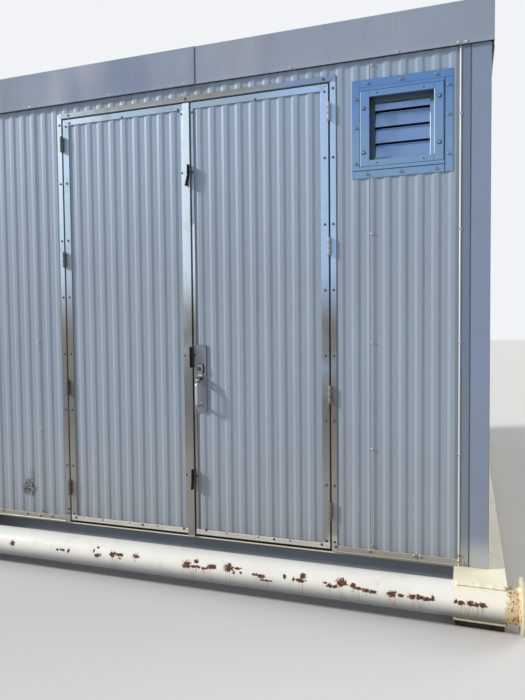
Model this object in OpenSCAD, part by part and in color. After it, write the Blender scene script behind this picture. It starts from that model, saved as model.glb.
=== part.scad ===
// Portable site cabin on a two-beam steel skid, with ribbed metal cladding,
// double outward-opening doors in one end wall and a square louvred vent.
// Frame: X across the door end, Y from the door end to the far end, Z up.
// The door end faces -Y. The origin is on the ground under the centre.

/* [Cabin body] */
// Width over the corner posts
body_w = 2742; // [2500:1:3000]
// Length over the end wall trims
body_l = 3660; // [3000:10:6000]
// Height from the top of the skid to the top of the fascia
body_h = 2348; // [2300:1:2600]
// Width of the wall beside the doorway, from the jamb to the corner
side_panel_w = 669; // [620:1:760]
// Height of the front over the doorway, from the door head to the top of the fascia
head_h = 248; // [230:1:300]
// Thickness of the wall core
wall_t = 90; // [60:5:120]
// Thickness of the floor board
floor_t = 18; // [12:1:30]

/* [Roof] */
// Thickness of the roof panel
deck_t = 130; // [100:1:145]
// Height of the roof sheet's ribs
roof_rib_h = 15; // [10:1:20]
// Thickness of the roof sheet between its ribs
roof_sheet_t = 5; // [3:0.5:6]
// How far the roof stands out past the walls
roof_out = 7; // [4:0.5:10]
// Height of the fascia
fascia_h = 176; // [160:1:200]
// Width of the fascia's cap over the roof
cap_w = 50; // [40:1:80]
// How far the fascia's drip edge stands out past its face
drip_out = 3; // [2:0.5:5]

/* [Skid] */
// Width of the flanges of a skid beam
flange_w = 204; // [150:1:260]
// Thickness of the flanges of a skid beam
flange_t = 12; // [8:1:20]
// Thickness of the web of a skid beam
web_t = 10; // [6:1:16]
// Radius between a beam's web and its flanges
root_r = 10; // [6:1:14]
// How far a flange stands out past the side wall
flange_out = 65; // [40:1:90]
// How far a skid beam runs past the end wall
beam_out = 151; // [140:1:200]
// Thickness of the runner shoe under a skid beam
shoe_t = 36; // [32:1:60]
// Outer diameter of the cross pipe, which fits between the flanges
pipe_d = 140; // [114:1:168]
// Wall of the cross pipe
pipe_wall = 8; // [5:1:12]
// Distance of the pipe's axis in front of the end wall
pipe_out = 132; // [120:1:150]
// Leg of the weld that joins the pipe to the keeper disc
weld_leg = 8; // [5:1:10]
// How far the keeper disc stands out past the pipe
disc_rim = 41; // [30:1:45]
// Thickness of the keeper disc
disc_t = 12; // [8:1:20]
// Gap between a skid beam's flange and the keeper disc
disc_gap = 47; // [20:1:80]
// Height of the channel between the beams at each end
channel_h = 150; // [120:1:160]
// Width of that channel
channel_w = 75; // [60:1:90]
// Thickness of that channel
channel_t = 8; // [6:0.5:10]
// Height of a floor joist
joist_h = 100; // [80:1:140]
// Width of a floor joist
joist_w = 50; // [40:1:70]
// Thickness of a floor joist
joist_t = 4; // [3:0.5:6]
// Number of floor joists
joist_n = 7; // [4:1:10]

/* [Cladding] */
// Distance from one rib to the next
rib_pitch = 68; // [50:1:100]
// Width of the flat top of a rib
rib_crest = 17; // [12:1:30]
// Width of a rib's sloping side
rib_slope = 13; // [5:1:16]
// Depth of a rib
rib_d = 4; // [3:0.5:12]
// Thickness of the sheet
sheet_t = 3; // [2:1:4]

/* [Trims] */
// Thickness of the folded trims
trim_t = 3; // [2:0.5:4]
// Width of each leg of a corner post
post_w = 80; // [60:1:100]
// Width of the flashing beside a corner post
flash_w = 41; // [30:1:50]
// Radius of the rolled edge of that flashing
hem_r = 3.5; // [2.5:0.5:5]
// Height of the trim along the foot of a wall
base_trim_h = 29; // [20:1:45]
// Width of the trim round the doorway
frame_trim_w = 25; // [18:1:32]
// Gap between trims that butt on each other
seam = 1; // [0.5:0.5:2]

/* [Doors] */
// Gap round the door leaves
leaf_gap = 7; // [6:0.5:9]
// Gap between the two leaves
meet_gap = 8; // [7:0.5:10]
// Place of the middle of that gap, from the centre of the doorway
meet_x = 25; // [0:1:60]
// Gap under the leaves
leaf_low = 10; // [7:1:16]
// Thickness of a leaf without its cladding
leaf_t = 36; // [30:1:50]
// Width of the trim up a leaf's hinge side
stile_w = 34; // [25:1:45]
// Width of the trim up the right leaf's meeting edge
meet_trim_w = 12; // [8:1:18]
// Width of the trims along the top and bottom of a leaf
rail_w = 29; // [20:1:40]
// Width of the raised strip on the left leaf's meeting edge
strip_w = 35; // [28:1:44]
// Width of that strip's flush foot between the rails
strip_flat = 11; // [8:1:16]
// How far that strip stands proud
strip_out = 4; // [3:0.5:5]
// Height of a turn bar on the meeting strip
bar_h = 100; // [80:1:120]
// How far a turn bar stands out from the strip
bar_out = 23; // [16:1:30]
// Thickness of a turn bar
bar_t = 4; // [3:0.5:5]
// Height of the lowest turn bar's middle over the skid
bar_low = 285; // [200:1:400]
// Height of the middle turn bar over the skid
bar_mid = 880; // [800:1:1000]
// Drop from the door head to the highest turn bar's middle
bar_drop = 350; // [200:1:500]

/* [Hinges] */
// Height of a hinge
hinge_h = 76; // [60:1:120]
// Height of the lowest hinge's middle over the skid
hinge_low = 188; // [150:1:300]
// Drop from the door head to the highest hinge's middle
hinge_drop = 130; // [100:1:250]
// Radius of a hinge knuckle
knuckle_r = 8; // [7:0.5:9]
// Radius of a hinge pin
pin_r = 3.5; // [3:0.5:4]
// Radial running clearance round a hinge pin
pin_clear = 0.1; // [0.05:0.05:0.1]
// Thickness of a hinge's plates
plate_t = 2.5; // [2:0.1:3]

/* [Lock] */
// Width of the lock plate
lock_w = 64; // [50:1:80]
// Height of the lock plate
lock_h = 329; // [300:1:400]
// Height of the lock plate's lower edge over the skid
lock_low = 611; // [550:1:700]
// Thickness of the lock plate
lock_t = 2; // [1.5:0.5:3]
// Distance from the leaf's edge to the middle of the lock set
backset = 33; // [28:1:40]
// Height of the cylinder over the plate's lower edge
cylinder_up = 214; // [205:1:260]
// Width of the cylinder's collar
collar_w = 36; // [32:1:40]
// Height of the cylinder's collar
collar_h = 48; // [36:1:56]
// Height of the thumb piece over the plate's lower edge
thumb_up = 180; // [160:1:185]
// Length of the thumb piece
thumb_l = 46; // [35:1:50]
// Drop from the thumb piece to the pull's upper leg
pull_drop = 31; // [30:1:40]
// Distance between the pull's legs
pull_l = 112; // [90:1:120]
// How far the middle of the grip stands out from the trims
pull_out = 50; // [40:1:60]
// Radius of the pull's round bar
pull_r = 7; // [5:0.5:9]

/* [Vent] */
// Width and height of the clear opening
vent_open = 270; // [240:1:290]
// Width of the damper frame's upright sides
vent_stile_w = 42; // [36:1:50]
// Width of the damper frame's top and bottom
vent_rail_w = 26; // [20:1:32]
// Width of the strips round the damper frame
vent_strip_w = 32.5; // [25:0.5:40]
// Gap between the vent and the flashing at the corner
vent_in = 26.5; // [10:0.5:60]
// Drop from the top of the fascia to the vent
vent_drop = 260.5; // [230:0.5:350]
// Thickness of the damper frame's walls
vent_t = 3; // [2:0.5:4]
// How far the damper frame stands proud of the strips
vent_proud = 2; // [1:0.5:4]
// Depth from the trims to the face of the blade channels
recess = 35; // [25:1:40]
// Width of the blade channels
blade_channel_w = 18; // [12:1:24]
// Distance from one blade to the next
blade_pitch = 70; // [55:1:80]
// Vertical gap between one blade and the next
blade_gap = 3; // [2:0.5:5]
// How far a blade's lower edge stands out in front of its upper edge
blade_lean = 16; // [10:1:20]
// Thickness of a blade
blade_t = 2; // [1.5:0.5:3]

/* [Hidden] */
$fn = 48;

// Heights
beam_h = pipe_d + 2 * flange_t;
base_h = beam_h + shoe_t;
pipe_z = base_h - flange_t - pipe_d / 2;
wall_h = body_h - deck_t - roof_rib_h - trim_t;
fascia_z = body_h - fascia_h;
// Layers of a wall, from the face of the trims inward
front = -body_l / 2;
crest_y = trim_t;
back_y = crest_y + rib_d + sheet_t;
inner_y = back_y + wall_t;
side = body_w / 2;
// Trims
trim_low = 1;
trim_gap = 2;
corner_w = post_w + trim_gap + flash_w;
fascia_out = roof_out + trim_t;
// Skid beams
beam_x = side + flange_out - flange_w / 2;
beam_l = body_l + 2 * beam_out;
flange_x = beam_x - flange_w / 2;
web_x = beam_x - web_t / 2;
disc_x = side + flange_out + disc_gap;
channel_in = 6;
joist_in = channel_in + channel_w + 9;
joist_lip = 14;
// Doorway
door_w = body_w - 2 * side_panel_w;
door_h = body_h - head_h;
jamb_x = door_w / 2;
jamb_t = 25;
stop_w = 25;
seal_t = 6;
stop_y = back_y + leaf_t + seal_t;
// Leaves
leaf_x = jamb_x - leaf_gap;
left_meet = meet_x - meet_gap / 2;
right_meet = meet_x + meet_gap / 2;
leaf_top = door_h - leaf_gap;
bar_x = left_meet - bar_t / 2;
bar_places = [bar_low, bar_mid, door_h - bar_drop];
bar_leans = [4, 0, 14];
// Hinges
hinge_x = jamb_x - leaf_gap / 2;
hinge_y = -9;
hinge_span = door_h - hinge_low - hinge_drop;
hinge_places = [for (share = [0, 0.297, 0.669, 1]) hinge_low + share * hinge_span];
// Lock set
lock_x = right_meet + backset;
pull_bend = 16;
// Vent
pan_w = vent_open + 2 * vent_stile_w;
pan_h = vent_open + 2 * vent_rail_w;
vent_w = pan_w + 2 * (seam + vent_strip_w);
vent_hole = vent_open + 2 * vent_t + 1;
vent_x = side - corner_w - vent_in - vent_w / 2;
vent_z = body_h - vent_drop - vent_w / 2;
duct_y = inner_y - 33;
blade_end = vent_open / 2 - blade_channel_w;
blade_y = recess + 11;
blade_low = 12 - vent_open / 2;
blade_n = floor((vent_open - 2 * blade_channel_w) / blade_pitch);

// Offset of x from the middle of the nearest rib
function rib_u(x) = abs(x - rib_pitch * round(x / rib_pitch));
// Depth of the ribbed face at x, with 0 on a crest and rib_d in a valley
function rib_y(x) =
    let (u = rib_u(x) - rib_crest / 2)
    u <= 0 ? 0 : u >= rib_slope ? rib_d : rib_d * u / rib_slope;
function rib_breaks(x0, x1) = [
    for (k = [floor(x0 / rib_pitch) - 1 : ceil(x1 / rib_pitch) + 1])
        for (s = [-rib_crest / 2 - rib_slope, -rib_crest / 2, rib_crest / 2, rib_crest / 2 + rib_slope])
            if (k * rib_pitch + s > x0 + 0.5 && k * rib_pitch + s < x1 - 0.5) k * rib_pitch + s
];
function rib_line(x0, x1) = concat([x0], rib_breaks(x0, x1), [x1]);

// Folded sheet with its crests at y = 0 and the backs of its valleys at y = rib_d + sheet_t
module ribbed(x0, x1, z0, z1) {
    xs = rib_line(x0, x1);
    n = len(xs) - 1;
    face = [for (x = xs) [x, rib_y(x)]];
    back = [for (i = [0 : n]) [xs[n - i], rib_y(xs[n - i]) + sheet_t]];
    translate([0, 0, z0]) linear_extrude(height = z1 - z0) polygon(concat(face, back));
}
// Box from one corner to the other
module box(a, b) {
    translate(a) cube([b[0] - a[0], b[1] - a[1], b[2] - a[2]]);
}
// Box on the front wall: y counts inward from the face of the trims, z from the top of the skid
module wbox(a, b) {
    box([a[0], front + a[1], base_h + a[2]], [b[0], front + b[1], base_h + b[2]]);
}
// Plan outline (x, y) carried up the front wall
module upright(z0, z1) {
    translate([0, front, base_h + z0]) linear_extrude(height = z1 - z0) children();
}
// Section (y, z) carried along the front wall
module along(x0, x1) {
    translate([x0, front, base_h]) rotate([90, 0, 90]) linear_extrude(height = x1 - x0) children();
}
// Section (y, z) carried along the right-hand wall
module along_side(y0, y1) {
    translate([side, y1, base_h]) rotate([90, 0, 0])
        linear_extrude(height = y1 - y0) mirror([1, 0]) children();
}
// Outline (x, z) of a plate on the front wall
module wplate(y0, y1) {
    translate([0, front + y1, base_h]) rotate([90, 0, 0]) linear_extrude(height = y1 - y0) children();
}
// The same shape at both sides or both ends
module both_sides() {
    children();
    mirror([1, 0, 0]) children();
}
module both_ends() {
    children();
    mirror([0, 1, 0]) children();
}
// Cylinder along X or Y
module xcyl(x0, x1, y, z, r) {
    translate([x0, y, z]) rotate([0, 90, 0]) cylinder(h = x1 - x0, r = r);
}
module ycyl(x, y0, y1, z, r) {
    translate([x, y1, z]) rotate([90, 0, 0]) cylinder(h = y1 - y0, r = r);
}
// Rectangle with rounded corners
module round_rect(w, h, r) {
    translate([r, 0]) square([w - 2 * r, h]);
    translate([0, r]) square([w, h - 2 * r]);
    for (x = [r, w - r]) for (y = [r, h - r]) translate([x, y]) circle(r = r);
}

// Skid
module beam_profile() {
    bay = (flange_w - web_t) / 2;
    difference() {
        translate([-flange_w / 2, 0]) square([flange_w, beam_h]);
        for (s = [0, 1]) mirror([s, 0]) translate([web_t / 2, flange_t])
            round_rect(bay + 2 * root_r, pipe_d, root_r);
    }
}
module skid_beams() {
    c = web_t / 2 + root_r + 1;
    color("antiquewhite") both_sides() difference() {
        translate([beam_x, beam_l / 2, shoe_t])
            rotate([90, 0, 0]) linear_extrude(height = beam_l) beam_profile();
        both_ends() {
            xcyl(beam_x - c, beam_x + c, front - pipe_out, pipe_z, pipe_d / 2);
            box([beam_x - c, front - beam_out - 5, shoe_t + flange_t],
                [beam_x + c, front - pipe_out, base_h - flange_t]);
        }
    }
}
module runner_shoes() {
    w = flange_w - 16;
    l = beam_l / 2 - 10;
    color("saddlebrown") both_sides() translate([beam_x + w / 2, 0, 0]) rotate([0, -90, 0])
        linear_extrude(height = w)
            polygon([[0, -l + 20], [shoe_t, -l], [shoe_t, l], [0, l - 20]]);
}
module channel_profile() {
    difference() {
        square([channel_w, channel_h]);
        translate([-2 * channel_t, channel_t])
            round_rect(channel_w + channel_t, channel_h - 2 * channel_t, channel_t);
    }
}
module joist_profile() {
    difference() {
        square([joist_w, joist_h]);
        translate([joist_t, joist_t]) round_rect(joist_w - 2 * joist_t, joist_h - 2 * joist_t, joist_t);
        translate([joist_w / 2, joist_lip]) square([joist_w, joist_h - 2 * joist_lip]);
    }
}
// Room for a skid beam's flange and root at the end of a cross member that meets its web
module cope() {
    r = root_r + 1;
    both_sides() {
        box([flange_x - 1, front, base_h - flange_t - r], [beam_x, -front, base_h + 1]);
        box([web_x - r, front, 0], [beam_x, -front, shoe_t + flange_t + r]);
    }
}
module cross_channels() {
    color("gainsboro") difference() {
        both_ends() translate([-web_x, front + channel_in, base_h - channel_h])
            rotate([90, 0, 90]) linear_extrude(height = 2 * web_x) channel_profile();
        cope();
    }
}
module floor_joists() {
    step = (body_l - 2 * joist_in - joist_w) / (joist_n - 1);
    color("gray") difference() {
        for (i = [0 : joist_n - 1])
            translate([-web_x, front + joist_in + i * step, base_h - joist_h])
                rotate([90, 0, 90]) linear_extrude(height = 2 * web_x) joist_profile();
        cope();
    }
}
module floor_deck() {
    x = side - inner_y - 1;
    y = -front - inner_y - 1;
    color("burlywood") box([-x, -y, base_h], [x, y, base_h + floor_t]);
}
// Half section of a pipe that flares into a weld at each end
module pipe_section() {
    r = pipe_d / 2;
    polygon([
        [r - pipe_wall, -disc_x], [r + weld_leg, -disc_x], [r, weld_leg - disc_x],
        [r, disc_x - weld_leg], [r + weld_leg, disc_x], [r - pipe_wall, disc_x]
    ]);
}
module cross_pipes() {
    color("white") both_ends() translate([0, front - pipe_out, pipe_z]) rotate([0, 90, 0])
        rotate_extrude() pipe_section();
}
module pipe_discs() {
    r = pipe_d / 2 + disc_rim;
    b = 2;
    color("ivory") both_ends() both_sides()
        translate([disc_x, front - pipe_out, pipe_z]) rotate([0, 90, 0]) rotate_extrude()
            polygon([[0, 0], [r - b, 0], [r, b], [r, disc_t - b], [r - b, disc_t], [0, disc_t]]);
}

// Walls
module front_wall_left() {
    color("whitesmoke") wbox([-side + back_y, back_y, 0], [-jamb_x - jamb_t, inner_y, wall_h]);
}
module front_wall_right() {
    color("whitesmoke") difference() {
        wbox([jamb_x + jamb_t, back_y, 0], [side - back_y, inner_y, wall_h]);
        vent_plate(back_y - 1, inner_y + 1) square(vent_hole, center = true);
    }
}
module front_wall_head() {
    color("whitesmoke")
        wbox([-jamb_x - jamb_t, back_y, door_h + jamb_t], [jamb_x + jamb_t, inner_y, wall_h]);
}
module side_wall() {
    box([side - inner_y, front + inner_y, base_h], [side - back_y, -front - inner_y, base_h + wall_h]);
}
module left_wall() {
    color("whitesmoke") mirror([1, 0, 0]) side_wall();
}
module right_wall() {
    color("whitesmoke") side_wall();
}
module back_wall() {
    color("whitesmoke") mirror([0, 1, 0])
        wbox([-side + back_y, back_y, 0], [side - back_y, inner_y, wall_h]);
}

// Cladding
clad_z0 = base_h + 4;
clad_z1 = base_h + wall_h - 4;
module front_cladding() {
    x = jamb_x + jamb_t;
    color("lightsteelblue") difference() {
        translate([0, front + crest_y, 0]) {
            both_sides() ribbed(x, side - back_y, clad_z0, clad_z1);
            ribbed(-x + seam, x - seam, base_h + door_h + jamb_t, clad_z1);
        }
        vent_plate(-1, back_y + 1) square(vent_hole, center = true);
    }
}
module side_cladding() {
    translate([side - crest_y, 0, 0]) rotate([0, 0, 90])
        ribbed(front + crest_y, -front - crest_y, clad_z0, clad_z1);
}
module left_cladding() {
    color("lightsteelblue") mirror([1, 0, 0]) side_cladding();
}
module right_cladding() {
    color("lightsteelblue") side_cladding();
}
module back_cladding() {
    color("lightsteelblue") mirror([0, 1, 0]) translate([0, front + crest_y, 0])
        ribbed(-side + back_y, side - back_y, clad_z0, clad_z1);
}

// Corner trims. Their plan starts at the cabin's corner and runs along the wall,
// with y inward from the face.
module post_plan() {
    translate([-post_w, 0]) square([post_w - trim_t, trim_t]);
    translate([-trim_t, trim_t]) square([trim_t, post_w - trim_t]);
    intersection() {
        translate([-trim_t, trim_t]) circle(r = trim_t);
        translate([-trim_t, 0]) square(trim_t);
    }
}
module corner_posts() {
    color("slategray") both_ends() both_sides()
        upright(trim_low, fascia_z) translate([side, 0]) post_plan();
}
module flashing_plan() {
    translate([post_w + trim_gap, 0]) square([flash_w - hem_r, trim_t]);
    translate([corner_w - hem_r, trim_t - hem_r]) circle(r = hem_r);
}
module corner_flashings() {
    color("lightgray") both_ends() both_sides() {
        upright(trim_low, fascia_z) translate([side, 0]) mirror([1, 0]) flashing_plan();
        upright(trim_low, fascia_z) translate([side, 0]) rotate(90) flashing_plan();
    }
}
// Section of the trim along a wall's foot, with a lip that throws water clear
module base_trim_section() {
    lip = 5;
    top = trim_low + base_trim_h;
    polygon([[-trim_t, trim_low], [trim_t, trim_low], [trim_t, top], [0, top], [0, trim_low + lip]]);
}
module base_trims() {
    x = side - corner_w - seam;
    y = -front - corner_w - seam;
    color("silver") {
        both_sides() along(jamb_x + trim_gap + frame_trim_w + seam, x) base_trim_section();
        mirror([0, 1, 0]) along(-x, x) base_trim_section();
        both_sides() along_side(-y, y) base_trim_section();
    }
}

// Roof
module roof_deck() {
    color("whitesmoke") box([-side - roof_out, front - roof_out, base_h + wall_h],
        [side + roof_out, -front + roof_out, base_h + wall_h + deck_t]);
}
module roof_sheet() {
    l = body_l + 2 * roof_out;
    ribs = 7;
    foot = 20;
    crest = 12;
    step = (l - 2 * foot) / (ribs - 1);
    centres = [for (i = [0 : ribs - 1]) foot - l / 2 + i * step];
    top = [for (c = centres) for (p = [[-foot, roof_sheet_t], [-crest, roof_rib_h],
        [crest, roof_rib_h], [foot, roof_sheet_t]]) [c + p[0], p[1]]];
    color("silver") translate([-side - roof_out, 0, base_h + wall_h + deck_t]) rotate([90, 0, 90])
        linear_extrude(height = body_w + 2 * roof_out)
            polygon(concat([[-l / 2, 0]], top, [[l / 2, 0]]));
}
// Section of the fascia: a drip edge, the face, a bend and the cap over the roof
module fascia_section() {
    o = -fascia_out;
    polygon([
        [o - drip_out, fascia_z], [crest_y, fascia_z], [crest_y, fascia_z + trim_t],
        [-roof_out, fascia_z + trim_t], [-roof_out, body_h - trim_t], [cap_w, body_h - trim_t],
        [cap_w, body_h], [o + trim_t, body_h], [o, body_h - trim_t], [o, fascia_z + 3 * drip_out]
    ]);
}
module fascia_end() {
    wbox([side + roof_out, -fascia_out, fascia_z], [side + fascia_out, cap_w, body_h]);
}
module front_fascia() {
    x = side + roof_out + 1;
    joint_x = 56;
    color("silver") {
        union() {
            along(-x, joint_x - seam) fascia_section();
            mirror([1, 0, 0]) fascia_end();
        }
        union() {
            along(joint_x, x) fascia_section();
            fascia_end();
        }
    }
}
module back_fascia() {
    x = side + roof_out + 1;
    color("silver") mirror([0, 1, 0]) union() {
        along(-x, x) fascia_section();
        both_sides() fascia_end();
    }
}
module side_fascias() {
    y = -front - cap_w - seam;
    color("silver") both_sides() along_side(-y, y) fascia_section();
}

// Doorway
module jamb_plan() {
    polygon([
        [jamb_x, crest_y], [jamb_x + jamb_t, crest_y], [jamb_x + jamb_t, inner_y],
        [jamb_x - stop_w, inner_y], [jamb_x - stop_w, stop_y], [jamb_x, stop_y]
    ]);
}
module head_section() {
    polygon([
        [crest_y, door_h], [stop_y, door_h], [stop_y, door_h - stop_w],
        [inner_y, door_h - stop_w], [inner_y, door_h + jamb_t], [crest_y, door_h + jamb_t]
    ]);
}
module door_frame() {
    slope = 6;
    color("dimgray") union() {
        both_sides() upright(0, door_h + jamb_t) jamb_plan();
        along(-jamb_x - 1, jamb_x + 1) head_section();
        along(-jamb_x, jamb_x)
            polygon([[stop_y, 0], [inner_y, 0], [inner_y, floor_t], [stop_y + slope, floor_t],
                [stop_y, floor_t - slope]]);
    }
}
// Trims round the doorway, mitred at the corners
module frame_trims() {
    x = jamb_x + trim_gap;
    z = door_h + trim_gap;
    w = frame_trim_w;
    color("lightblue") {
        both_sides() wplate(0, trim_t)
            polygon([[x, trim_low], [x + w, trim_low], [x + w, z + w - seam], [x, z - seam]]);
        wplate(0, trim_t) polygon([[-x, z], [x, z], [x + w, z + w], [-x - w, z + w]]);
    }
}
// Hinge knuckle between two heights, with a plate that reaches from it to y1
module knuckle(px, z0, z1) {
    translate([hinge_x, hinge_y, z0]) cylinder(h = z1 - z0, r = knuckle_r);
    translate([px, hinge_y, z0]) cube([plate_t, knuckle_r + 3, z1 - z0]);
}
// Half section of a hinge pin with a domed head at each end
module pin_section() {
    head = 3;
    polygon([
        [0, -head], [pin_r, -head], [knuckle_r - 2, 0], [pin_r, 0],
        [pin_r, hinge_h], [knuckle_r - 2, hinge_h], [pin_r, hinge_h + head], [0, hinge_h + head]
    ]);
}
// One hinge, split into the frame's half and the leaf's half
module hinge_parts(z, leaf) {
    s = hinge_h / 3;
    c = 0.5;
    y0 = hinge_y + knuckle_r + 2;
    plate_y = back_y + leaf_t - 6;
    px = leaf ? leaf_x : jamb_x - plate_t;
    translate([0, front, base_h + z - hinge_h / 2]) difference() {
        union() {
            translate([px, y0, 0]) cube([plate_t, plate_y - y0, hinge_h]);
            if (leaf) knuckle(px, s + c, 2 * s - c);
            if (!leaf) {
                knuckle(px, 0, s - c);
                knuckle(px, 2 * s + c, hinge_h);
                translate([hinge_x, hinge_y, 0]) rotate_extrude() pin_section();
            }
        }
        if (leaf) translate([hinge_x, hinge_y, -1]) cylinder(h = hinge_h + 4, r = pin_r + pin_clear);
    }
}
module frame_hinges() {
    color("darkslategray") both_sides() for (z = hinge_places) hinge_parts(z, false);
}
module leaf_hinges() {
    for (z = hinge_places) hinge_parts(z, true);
}

// A leaf between x0 and x1
module leaf_core(x0, x1) {
    wbox([x0, back_y, leaf_low], [x1, back_y + leaf_t, leaf_top]);
}
module leaf_skin(x0, x1) {
    translate([0, front + crest_y, base_h])
        ribbed(x0 + trim_t, x1 - trim_t, leaf_low + trim_t, leaf_top - trim_t);
}
// Folded edge trim up a leaf: a is the leaf's edge, b the trim's inner edge
module stile_trim(a, b) {
    e = a + sign(b - a) * trim_t;
    upright(leaf_low, leaf_top)
        polygon([[a, 0], [b, 0], [b, trim_t], [e, trim_t], [e, back_y], [a, back_y]]);
}
module rail_trims(x0, x1) {
    for (z = [leaf_low, leaf_top]) {
        s = z == leaf_low ? 1 : -1;
        along(x0, x1) translate([0, z]) polygon([
            [0, 0], [back_y, 0], [back_y, s * trim_t], [trim_t, s * trim_t],
            [trim_t, s * rail_w], [0, s * rail_w]
        ]);
    }
}
module left_leaf() {
    color("gainsboro") leaf_core(-leaf_x, left_meet);
}
module left_leaf_cladding() {
    color("lightsteelblue") leaf_skin(-leaf_x, left_meet);
}
module left_leaf_trims() {
    color("lightblue") {
        stile_trim(-leaf_x, -leaf_x + stile_w);
        rail_trims(-leaf_x + stile_w + seam, left_meet - strip_w - seam);
    }
}
module left_leaf_hinges() {
    color("darkslategray") mirror([1, 0, 0]) leaf_hinges();
}
// Raised strip that covers the left leaf's edge, with a flush foot, and runs down over the sill
module meeting_strip() {
    a = left_meet - strip_w;
    b = left_meet;
    e = 1;
    color("silver") union() {
        upright(leaf_low, leaf_top) polygon([
            [a, trim_t], [a, e - strip_out], [a + e, -strip_out], [b - e, -strip_out],
            [b, e - strip_out], [b, back_y], [b - trim_t, back_y], [b - trim_t, trim_t]
        ]);
        wbox([a - strip_flat, 0, leaf_low + rail_w + seam], [a, trim_t, leaf_top - rail_w - seam]);
        wbox([a, -strip_out, -trim_t], [b, -1, leaf_low + 5]);
    }
}
// Flat bar on edge: its lower half leans sideways by an angle
module turn_bar(z, lean) {
    h = bar_h / 2;
    t = bar_t / 2;
    d = h * tan(lean);
    y0 = -strip_out - bar_out;
    union() {
        intersection() {
            wplate(y0, -strip_out) translate([bar_x, z])
                polygon([[-t, h], [t, h], [t, 0], [t - d, -h], [-t - d, -h], [-t, 0]]);
            along(bar_x - bar_out, bar_x + t) translate([y0, z - h]) round_rect(bar_out, bar_h, 4);
        }
        xcyl(bar_x - 2 * bar_t, bar_x + t, front + y0 + bar_out / 2, base_h + z + h / 4, bar_t);
    }
}
module turn_bars() {
    color("black") for (i = [0 : len(bar_places) - 1]) turn_bar(bar_places[i], bar_leans[i]);
}
module right_leaf() {
    color("gainsboro") leaf_core(right_meet, leaf_x);
}
module right_leaf_cladding() {
    color("lightsteelblue") leaf_skin(right_meet, leaf_x);
}
module right_leaf_trims() {
    color("lightblue") {
        stile_trim(leaf_x, leaf_x - stile_w);
        stile_trim(right_meet, right_meet + meet_trim_w);
        rail_trims(right_meet + meet_trim_w + seam, leaf_x - stile_w - seam);
    }
}
module right_leaf_hinges() {
    color("darkslategray") leaf_hinges();
}

// Lock set
module lock_plate() {
    over = meet_trim_w + seam;
    color("silver") union() {
        wplate(-lock_t, 0) translate([right_meet, lock_low]) round_rect(lock_w, lock_h, 5);
        wplate(-lock_t / 2, crest_y) translate([right_meet + over, lock_low])
            round_rect(lock_w - over, lock_h, 5);
    }
}
// Half section of the lock's ring and of the plug that stands out of it
module cylinder_section() {
    plug_r = 12;
    ring_r = 14.5;
    groove = 0.5;
    polygon([
        [0, 0], [ring_r, 0], [ring_r, 10], [ring_r - 1, 11], [plug_r + groove, 11],
        [plug_r + groove, 9], [plug_r, 9], [plug_r, 13], [plug_r - 1, 14], [0, 14]
    ]);
}
// Stepped collar with round corners round the plug
module lock_cylinder() {
    key_h = 9;
    key_w = 2;
    corner_r = 8;
    color("silver") translate([lock_x, front - lock_t, base_h + lock_low + cylinder_up])
        rotate([90, 0, 0]) difference() {
            union() {
                for (step = [[0, 6], [2, 9]])
                    linear_extrude(height = step[1])
                        translate([step[0] - collar_w / 2, step[0] - collar_h / 2])
                        round_rect(collar_w - 2 * step[0], collar_h - 2 * step[0], corner_r - step[0]);
                rotate_extrude() cylinder_section();
            }
            translate([-key_w / 2, -key_h / 2, 11]) cube([key_w, key_h, 4]);
        }
}
module pull_handle() {
    b = pull_bend;
    z1 = base_h + lock_low + thumb_up - pull_drop;
    z0 = z1 - pull_l;
    y = front - pull_out;
    color("silver") union() {
        for (z = [z0, z1]) {
            ycyl(lock_x, y + b, front - lock_t, z, pull_r);
            ycyl(lock_x, front - lock_t - 3, front - lock_t, z, pull_r + 2);
        }
        translate([lock_x, y, z0 + b]) cylinder(h = z1 - z0 - 2 * b, r = pull_r);
        translate([lock_x, y + b, z1 - b]) rotate([0, 90, 0]) rotate([0, 0, 180])
            rotate_extrude(angle = 90) translate([b, 0]) circle(r = pull_r);
        translate([lock_x, y + b, z0 + b]) rotate([0, 90, 0]) rotate([0, 0, -90])
            rotate_extrude(angle = 90) translate([b, 0]) circle(r = pull_r);
    }
}
// Tongue that droops along an arc and narrows to a round tip, on a round boss
module thumb_piece() {
    root = 13;
    tip = 10;
    arc_r = 74;
    t = 4;
    z = lock_low + thumb_up;
    y1 = -lock_t;
    y0 = y1 - thumb_l;
    color("silver") union() {
        intersection() {
            along(lock_x - root, lock_x + root) translate([y1, z - arc_r]) difference() {
                circle(r = arc_r, $fn = 180);
                circle(r = arc_r - t, $fn = 180);
            }
            upright(z - thumb_l, z + 1) translate([lock_x, 0]) {
                polygon([[-root, y1], [root, y1], [tip, y0 + tip], [-tip, y0 + tip]]);
                translate([0, y0 + tip]) circle(r = tip);
            }
        }
        ycyl(lock_x, front + y1 - 4, front + y1, base_h + z - t / 2, root - 1);
    }
}

// Vent. Its outlines are counted from the centre of the opening.
module vent_plate(y0, y1) {
    wplate(y0, y1) translate([vent_x, vent_z]) children();
}
module vent_ring(outer, inner, y0, y1) {
    vent_plate(y0, y1) difference() {
        square(outer, center = true);
        square(inner, center = true);
    }
}
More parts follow.
